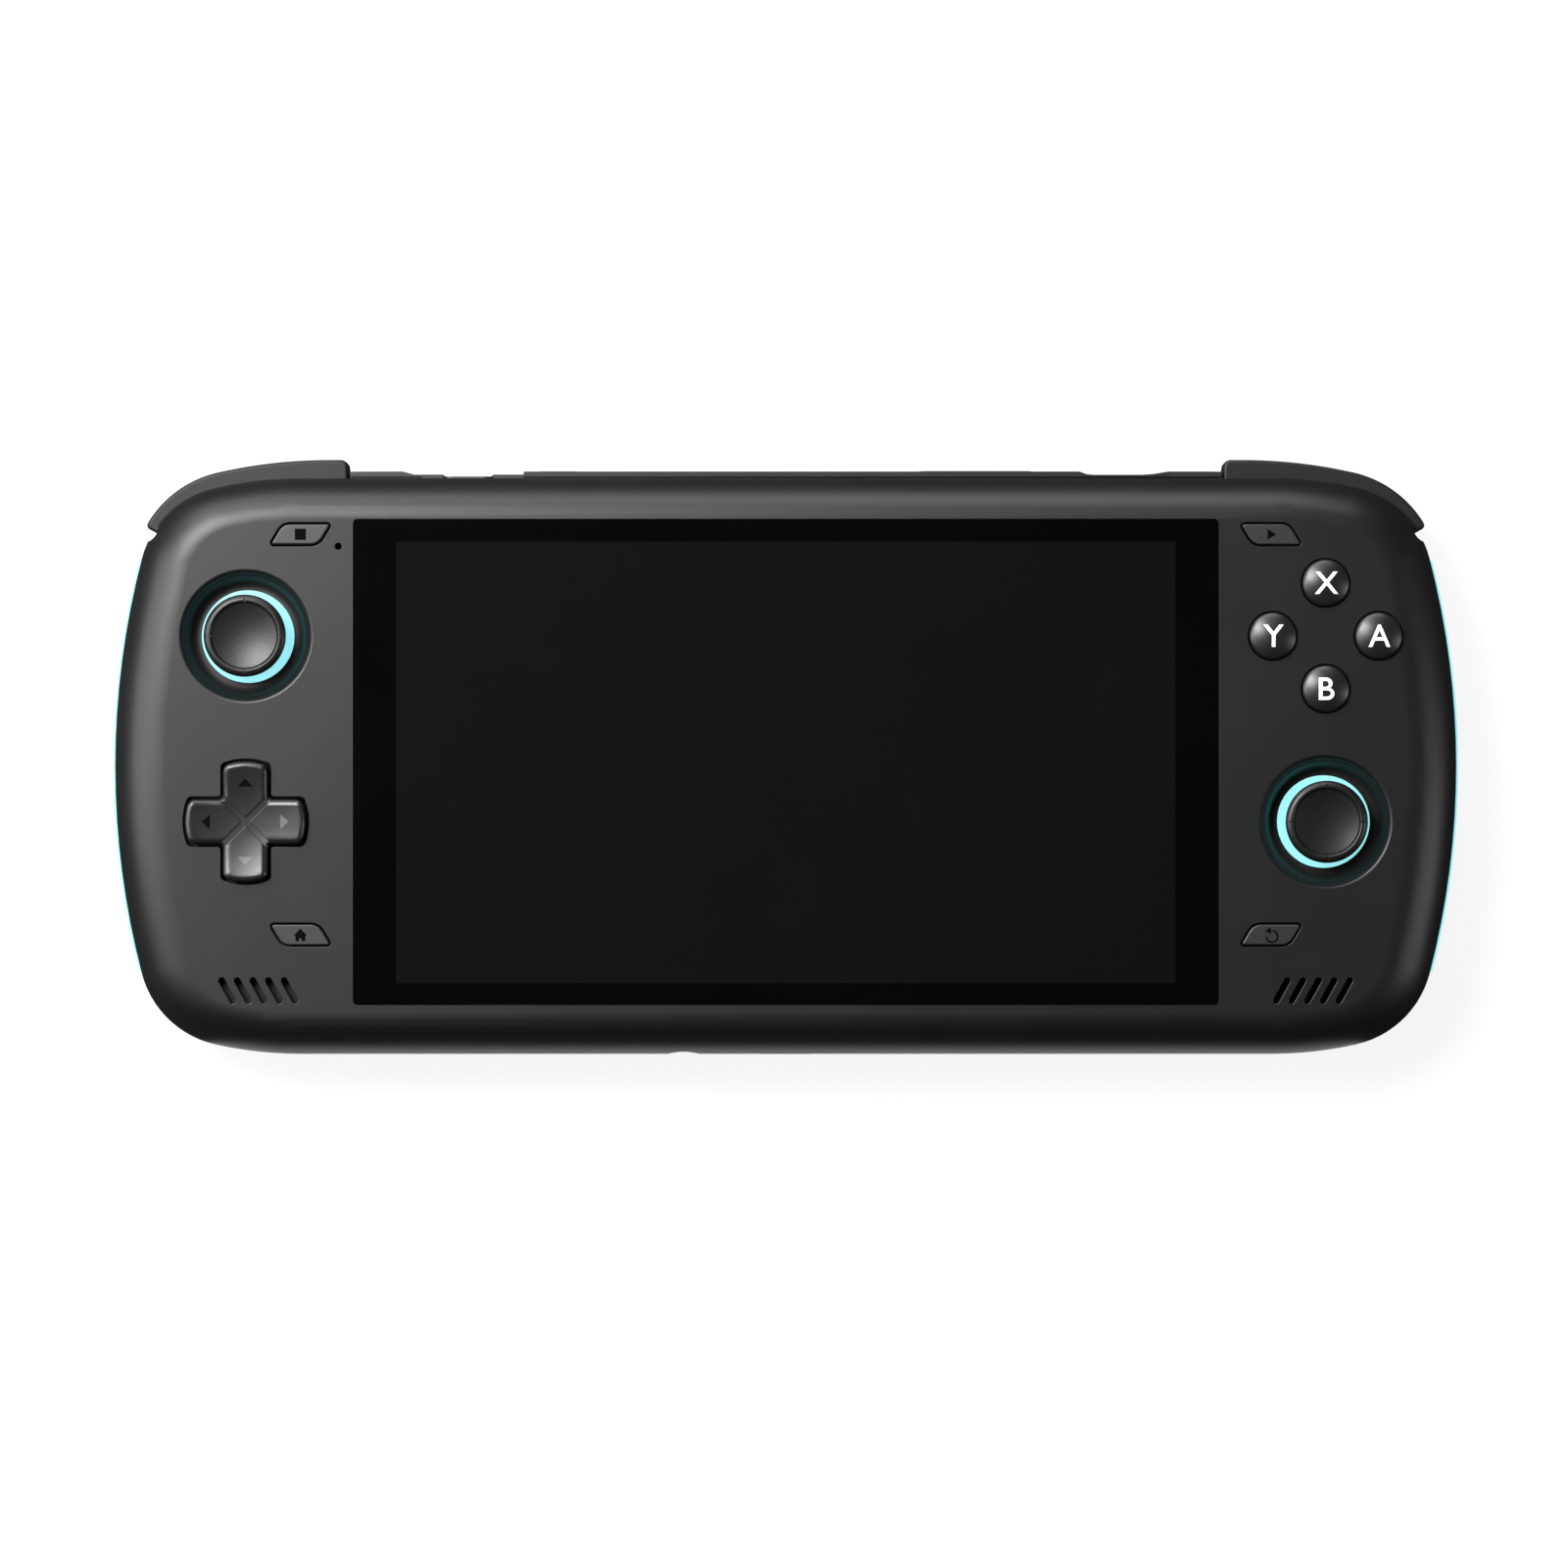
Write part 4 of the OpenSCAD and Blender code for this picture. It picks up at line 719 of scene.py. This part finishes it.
def crossBlock(name, at, span, arm, low, high, bowCuts):  # plus-shaped block with bowed ends
    x, y = (c * mm for c in at)
    tip = span / 2 * mm
    block = start(name, "cube", size=1, location=(x, y, (low + high) / 2 * mm),
                  scale=(arm * mm, arm * mm, (high - low) * mm))
    for ex, ey in crossEnds:  # pull an arm out of each side
        edit(block, "FACE", lambda c, n: n.x * ex + n.y * ey > 0.9
             and abs((c.x - x) * ey) + abs((c.y - y) * ex) < hair)
        extrude(ex * (span - arm) / 2, ey * (span - arm) / 2)
    for ex, ey in crossEnds:  # split the level edges of each end, to be set back to a round bow
        edit(block, "EDGE", lambda a, b: all((p.x - x) * ex + (p.y - y) * ey > tip - hair for p in (a, b))
             and abs(a.z - b.z) < hair)
        bpy.ops.mesh.subdivide(number_cuts=bowCuts)
    objectMode()
    for vert in block.data.vertices:
        dx, dy = vert.co.x - x, vert.co.y - y
        for ex, ey in crossEnds:
            if dx * ex + dy * ey > tip - hair:
                inset = tip - math.sqrt(tip ** 2 - (dx * ey + dy * ex) ** 2)
                vert.co.x -= inset * ex
                vert.co.y -= inset * ey
    return block


def hollowPad(pad, d):  # flange, room for the spider, lugs and the bore that they run on
    x, y = d["at"]
    foot, past = d["foot"], d["past"]
    grow, thick = d["flange"]
    flange = crossBlock("flange", d["at"], d["span"] + 2 * grow, d["arm"] + 2 * grow, foot, foot + thick,
                        d["bowCuts"])
    carve(pad, flange, "UNION")
    long, wide, roof = d["hollow"]
    for turn in (0, 90):
        carve(pad, box(x, y, (foot - past + roof) / 2, long, wide, roof - foot + past, turn))
    out, earWide, earDeep = d["ears"]
    earLow, earHigh = foot - d["earDrop"], roof + d["earSink"]
    for side in (-1, 1):
        ear = box(x + side * out, y, (earLow + earHigh) / 2, earWide, earDeep, earHigh - earLow)
        carve(pad, ear, "UNION")
    bore = start("bore", "cylinder", vertices=d["boreSides"], radius=d["bore"] * mm, depth=d["boreLong"] * mm,
                 location=(x * mm, y * mm, foot * mm), rotation=(0, math.pi / 2, 0))
    carve(pad, bore)
    carve(pad, box(x, y, foot - past, d["boreLong"], d["mouth"], 2 * past))


def groovePad(pad, d):  # crossed grooves between the arms, with fine rolled edges
    x, y = d["at"]
    long, wide, deep = d["groove"]
    for turn in (45, 135):
        carve(pad, box(x, y, d["top"] - deep + d["past"], long, wide, 2 * d["past"], turn))
    edit(pad, "EDGE", lambda a, b: min(a.z, b.z) > (d["top"] - d["grooveBand"]) * mm, sharp=d["grooveCorner"])
    rollEdges(d["grooveRoll"], d["grooveSteps"])


def dishPad(pad, d):  # a grid of cuts, so that the top can sink into a dish
    x, y = (c * mm for c in d["at"])
    edit(pad)
    steps = int(d["span"] / d["grid"] / 2)
    for axis in range(2):
        for i in range(-steps, steps + 1):
            spot = [x, y, 0]
            spot[axis] += (i + d["gridShift"]) * d["grid"] * mm
            bpy.ops.mesh.select_all(action="SELECT")
            bpy.ops.mesh.bisect(plane_co=spot, plane_no=(axis == 0, axis == 1, 0))
    edit(pad, "VERT", lambda c: c.z < (d["top"] - d["dishSkin"]) * mm)
    bpy.ops.mesh.hide(unselected=False)
    objectMode()
    for vert in pad.data.vertices:
        vert.select = not vert.hide and math.hypot(vert.co.x - x, vert.co.y - y) < d["dishMiddle"] * mm
    bpy.ops.object.mode_set(mode="EDIT")
    bpy.ops.transform.translate(value=(0, 0, -d["dish"] * mm), use_proportional_edit=True,
                                proportional_edit_falloff="INVERSE_SQUARE",
                                proportional_size=d["dishReach"] * mm)
    bpy.ops.mesh.reveal(select=False)


def layArrows(pad, d):
    x, y = d["at"]
    wide, long = d["arrowSize"]
    middle = Matrix.Translation((x * mm, y * mm, (d["top"] + inlay["above"]) * mm))
    out = Matrix.Translation((0, d["arrowOut"] * mm, 0))
    for name, (turn, finish) in d["arrows"].items():
        arrow = start(name, "circle", vertices=3, radius=mm, fill_type="NGON", scale=(wide, long, 1))
        arrow.matrix_world = middle @ Matrix.Rotation(math.radians(turn), 4, "Z") @ out
        settle(arrow)
        hugTop(arrow, pad, d["arrowRise"])
        fit(arrow, smallFinishes[finish], body=bodyOf["dpad_cross"])


def makePad(d):
    pad = crossBlock("directionPad", d["at"], d["span"], d["arm"], d["foot"], d["top"], d["bowCuts"])
    edit(pad, "EDGE", lambda a, b: max(a.z, b.z) > d["foot"] * mm + hair, sharp=d["rimCorner"])
    rollEdges(d["rim"], d["rimSteps"])
    hollowPad(pad, d)
    groovePad(pad, d)
    dishPad(pad, d)
    outward(pad)
    smoothOut(pad, d["smooth"])
    fit(pad, finishes["dpad"], "dpad_cross")
    layArrows(pad, d)


makePad(padPlan)
print("direction pad done")


# thumb sticks

stickPlan = {"pivot": 11.5, "domeOut": 7.4, "domeIn": 6.4, "domeTurn": 56, "domeSteps": 12,
             "innerFrom": 3, "outerTo": 5,  # steps at which the two arcs meet the bore and the neck
             "bore": 1.15, "boreRoof": 21.1, "boreMouth": 17.85, "tip": 0.1, "sides": 128, "smooth": 40,
             "cap": [(2.7, 18.75), (2.7, 21.15), (2.8, 21.5), (3.1, 21.75), (5.9, 21.98), (6.35, 22.12),
                     (6.68, 22.4), (6.82, 22.72), (6.83, 22.98), (6.74, 23.25), (6.55, 23.5), (6.3, 23.68),
                     (6.05, 23.77), (5.85, 23.8), (5.7, 23.77), (5.58, 23.68), (5.5, 23.54), (5.44, 23.44),
                     (5.4, 23.36), (5.36, 23.34)],  # neck, underside and rolled rim
             "dish": 5.33, "dishFloor": 22.72, "dishEdge": 23.42, "dishSteps": 14,
             "notch": (1.0, 0.24, 0.4), "notchOut": 5.85, "notchAt": 23.8}


def makeStick(d):
    (x, y), (otherX, otherY) = stickSpots

    def dome(r, steps):  # an arc about the pivot
        angles = [math.radians(d["domeTurn"] * i / d["domeSteps"]) for i in steps]
        return [(r * math.sin(a), d["pivot"] + r * math.cos(a)) for a in angles]

    bore = [(d["bore"], d["boreRoof"]), (d["bore"], d["boreMouth"])]
    inner = dome(d["domeIn"], range(d["innerFrom"], d["domeSteps"] + 1))
    outer = dome(d["domeOut"], range(d["domeSteps"], d["outerTo"] - 1, -1))
    rise = d["dishEdge"] - d["dishFloor"]
    radii = [d["dish"] * (1 - i / d["dishSteps"]) for i in range(d["dishSteps"])]
    dish = [(r, d["dishFloor"] + rise * (r / d["dish"]) ** 2) for r in radii] + [(d["tip"], d["dishFloor"])]
    stick = turned("stickCapLeft", (x, y), bore + inner + outer + d["cap"] + dish, d["sides"])
    for turn in (0, 90, 180, 270):  # small notches across the rim
        a = math.radians(turn)
        out = (x + d["notchOut"] * math.cos(a), y + d["notchOut"] * math.sin(a))
        carve(stick, box(*out, d["notchAt"], *d["notch"], turn))
    smoothOut(stick, d["smooth"])
    other = copyPiece(stick, "stickCapRight", (otherX - x, otherY - y))
    fit(stick, finishes["stick_rubber"], "stick_cap_left")
    fit(other, finishes["stick_rubber"], "stick_cap_right")


makeStick(stickPlan)
print("thumb sticks done")


# face buttons and their letters

buttonPlan = {"middle": (89.8, 20.1), "reach": 8.8, "r": 3.9, "top": 22.7, "sides": 96, "smooth": 40,
              "flange": 0.7, "flangeLow": 16.5, "flangeHigh": 17.4, "tip": 0.1,
              "shoulder": ((0, 1.3), (0.03, 1.15), (0.1, 1.01), (0.22, 0.89), (0.38, 0.79)),  # in and down
              "crown": 0.72, "crownIn": 0.5, "crownSteps": 12,
              "letters": {"a": (0, "A"), "x": (90, "X"), "y": (180, "Y"), "b": (270, "B")},
              "letterHigh": 3.7, "letterFat": 0.006, "letterRise": 0.03}


def makeButtons(d):
    middleX, middleY = d["middle"]
    r, top = d["r"], d["top"]
    flange = r + d["flange"]
    edge = [(flange, d["flangeLow"]), (flange, d["flangeHigh"]), (r, d["flangeHigh"])]
    shoulder = [(r - inset, top - down) for inset, down in d["shoulder"]]
    reach = r - d["crownIn"]
    radii = [reach * (1 - i / d["crownSteps"]) for i in range(d["crownSteps"])]
    crown = [(u, top - d["crown"] * (u / reach) ** 2) for u in radii] + [(d["tip"], top)]
    for key, (turn, letter) in d["letters"].items():
        a = math.radians(turn)
        spot = (middleX + d["reach"] * math.cos(a), middleY + d["reach"] * math.sin(a))
        button = turned(f"faceButton{letter}", spot, edge + shoulder + crown, d["sides"])
        smoothOut(button, d["smooth"])
        fit(button, finishes["gloss_buttons"], f"button_{key}")
        makeLetter(letter, spot, button, d)


def makeLetter(letter, spot, button, d):
    objectMode()
    bpy.ops.object.text_add(location=(0, 0, 0))
    text = bpy.context.object
    text.data.body = letter
    text.data.align_x, text.data.align_y = "CENTER", "CENTER"
    text.data.offset = d["letterFat"]
    bpy.ops.object.convert(target="MESH")
    mark = bpy.context.object
    mark.name = mark.data.name = f"letter{letter}"
    low = [min(v.co[i] for v in mark.data.vertices) for i in range(2)]
    high = [max(v.co[i] for v in mark.data.vertices) for i in range(2)]
    size = d["letterHigh"] * mm / (high[1] - low[1])
    mark.scale = (size, size, size)
    middle = [spot[i] * mm - size * (low[i] + high[i]) / 2 for i in range(2)]
    mark.location = (*middle, (d["top"] + inlay["above"]) * mm)
    settle(mark)
    hugTop(mark, button, d["letterRise"])
    fit(mark, smallFinishes["letter"], body=f"button_{letter.lower()}")


makeButtons(buttonPlan)
print("face buttons and letters done")


# marks on the menu keys

markPlan = {"level": 21.25, "rise": 0.02, "thick": 0.06, "weld": 0.005, "smooth": 30,
            "select": (-80.7, 37.0), "start": (80.7, 37.0), "home": (-80.7, -29.6), "back": (80.7, -29.6),
            "square": 1.85, "triangleLeft": 0.1, "triangle": 1.0,
            "walls": ((-0.5275, -0.585, 0.595, 0.97), (0.5275, -0.585, 0.595, 0.97), (0, -0.35, 0.46, 0.5)),
            "roofUp": 0.276, "roof": 1.293, "roofSqueeze": 0.582,
            "ringFrom": (-0.8, -0.27, 0.3, 0.02), "ringMiddle": 0.14, "ringTurn": -265, "ringSteps": 30,
            "tipAt": (-0.35, 0.68), "tip": 0.66}


def finishMark(pieces, name, body, d):
    mark = join(pieces, name)
    edit(mark)
    bpy.ops.mesh.remove_doubles(threshold=d["weld"] * mm)
    extrude(z=-d["thick"])
    outward(mark)
    smoothOut(mark, d["smooth"])
    fit(mark, smallFinishes["darkPrintAndPaintedShade"], body=body)


def makeMarks(d):
    z = (d["level"] + d["rise"]) * mm

    def tile(x, y, w, h):
        return start("tile", "plane", size=1, location=(x * mm, y * mm, z), scale=(w * mm, h * mm, 1))

    def wedge(x, y, r, turn, squeeze=1.0):
        piece = start("wedge", "circle", vertices=3, radius=r * mm, fill_type="NGON")
        place = Matrix.Translation((x * mm, y * mm, z)) @ Matrix.Rotation(math.radians(turn), 4, "Z")
        piece.matrix_world = place @ Matrix.Diagonal((1, squeeze, 1, 1))
        settle(piece)
        return piece

    x, y = d["select"]
    finishMark([tile(x, y, d["square"], d["square"])], "markSquare", "select_button", d)
    x, y = d["start"]
    finishMark([wedge(x - d["triangleLeft"], y, d["triangle"], -90)], "markTriangle", "start_button", d)
    x, y = d["home"]
    walls = [tile(x + right, y + up, w, h) for right, up, w, h in d["walls"]]
    roof = wedge(x, y + d["roofUp"], d["roof"], 0, d["roofSqueeze"])
    finishMark(walls + [roof], "markHouse", "home_button", d)
    x, y = d["back"]
    right, up, w, h = d["ringFrom"]
    ring = tile(x + right, y + up, w, h)
    edit(ring, "EDGE", lambda a, b: max(a.y, b.y) < (y + up) * mm)
    bpy.ops.mesh.spin(steps=d["ringSteps"], angle=math.radians(d["ringTurn"]), axis=(0, 0, 1),
                      center=((x + d["ringMiddle"]) * mm, (y + up) * mm, z))
    objectMode()
    tipRight, tipUp = d["tipAt"]
    finishMark([ring, wedge(x + tipRight, y + tipUp, d["tip"], 90)], "markReturn", "back_button", d)


makeMarks(markPlan)
print("menu marks done")


# what is left of the solids keeps its shape and gets its finish

keptSlots = {
    "light": ["side_light_left", "side_light_right"],
    "panel": ["display_panel"],
    "frame_metal": ["mid_frame", "heat_sink", "stick_module_left", "stick_module_right"],
    "circuit_board": ["main_board", "port_board", "button_board_left", "button_board_right"],
    "battery_wrap": ["battery"],
    "ribbon": ["display_ribbon"],
    "steel": ["bumper_pins", "trigger_pins", "trigger_springs", "usb_port", "video_port", "case_screws",
              "frame_screws", "rumble_motors"],
    "white_plastic": ["stick_x_rocker_left", "stick_y_rocker_left", "stick_shaft_left",
                      "stick_x_rocker_right", "stick_y_rocker_right", "stick_shaft_right", "dpad_pivot"],
    "silicone": ["dpad_membrane", "face_membrane"],
    "black_plastic": ["fan_housing", "fan_rotor", "speakers", "headphone_jack"],
}


def dress(name, finish):
    cadNodes[name].data.materials.clear()
    cadNodes[name].data.materials.append(finish)
    dressed.add(name)


for slot, names in keptSlots.items():
    for name in names:
        dress(name, finishes[slot])
dress("status_light", smallFinishes["window"])
print("solids without a finish:", sorted(set(cadNodes) - dressed))

objectMode()
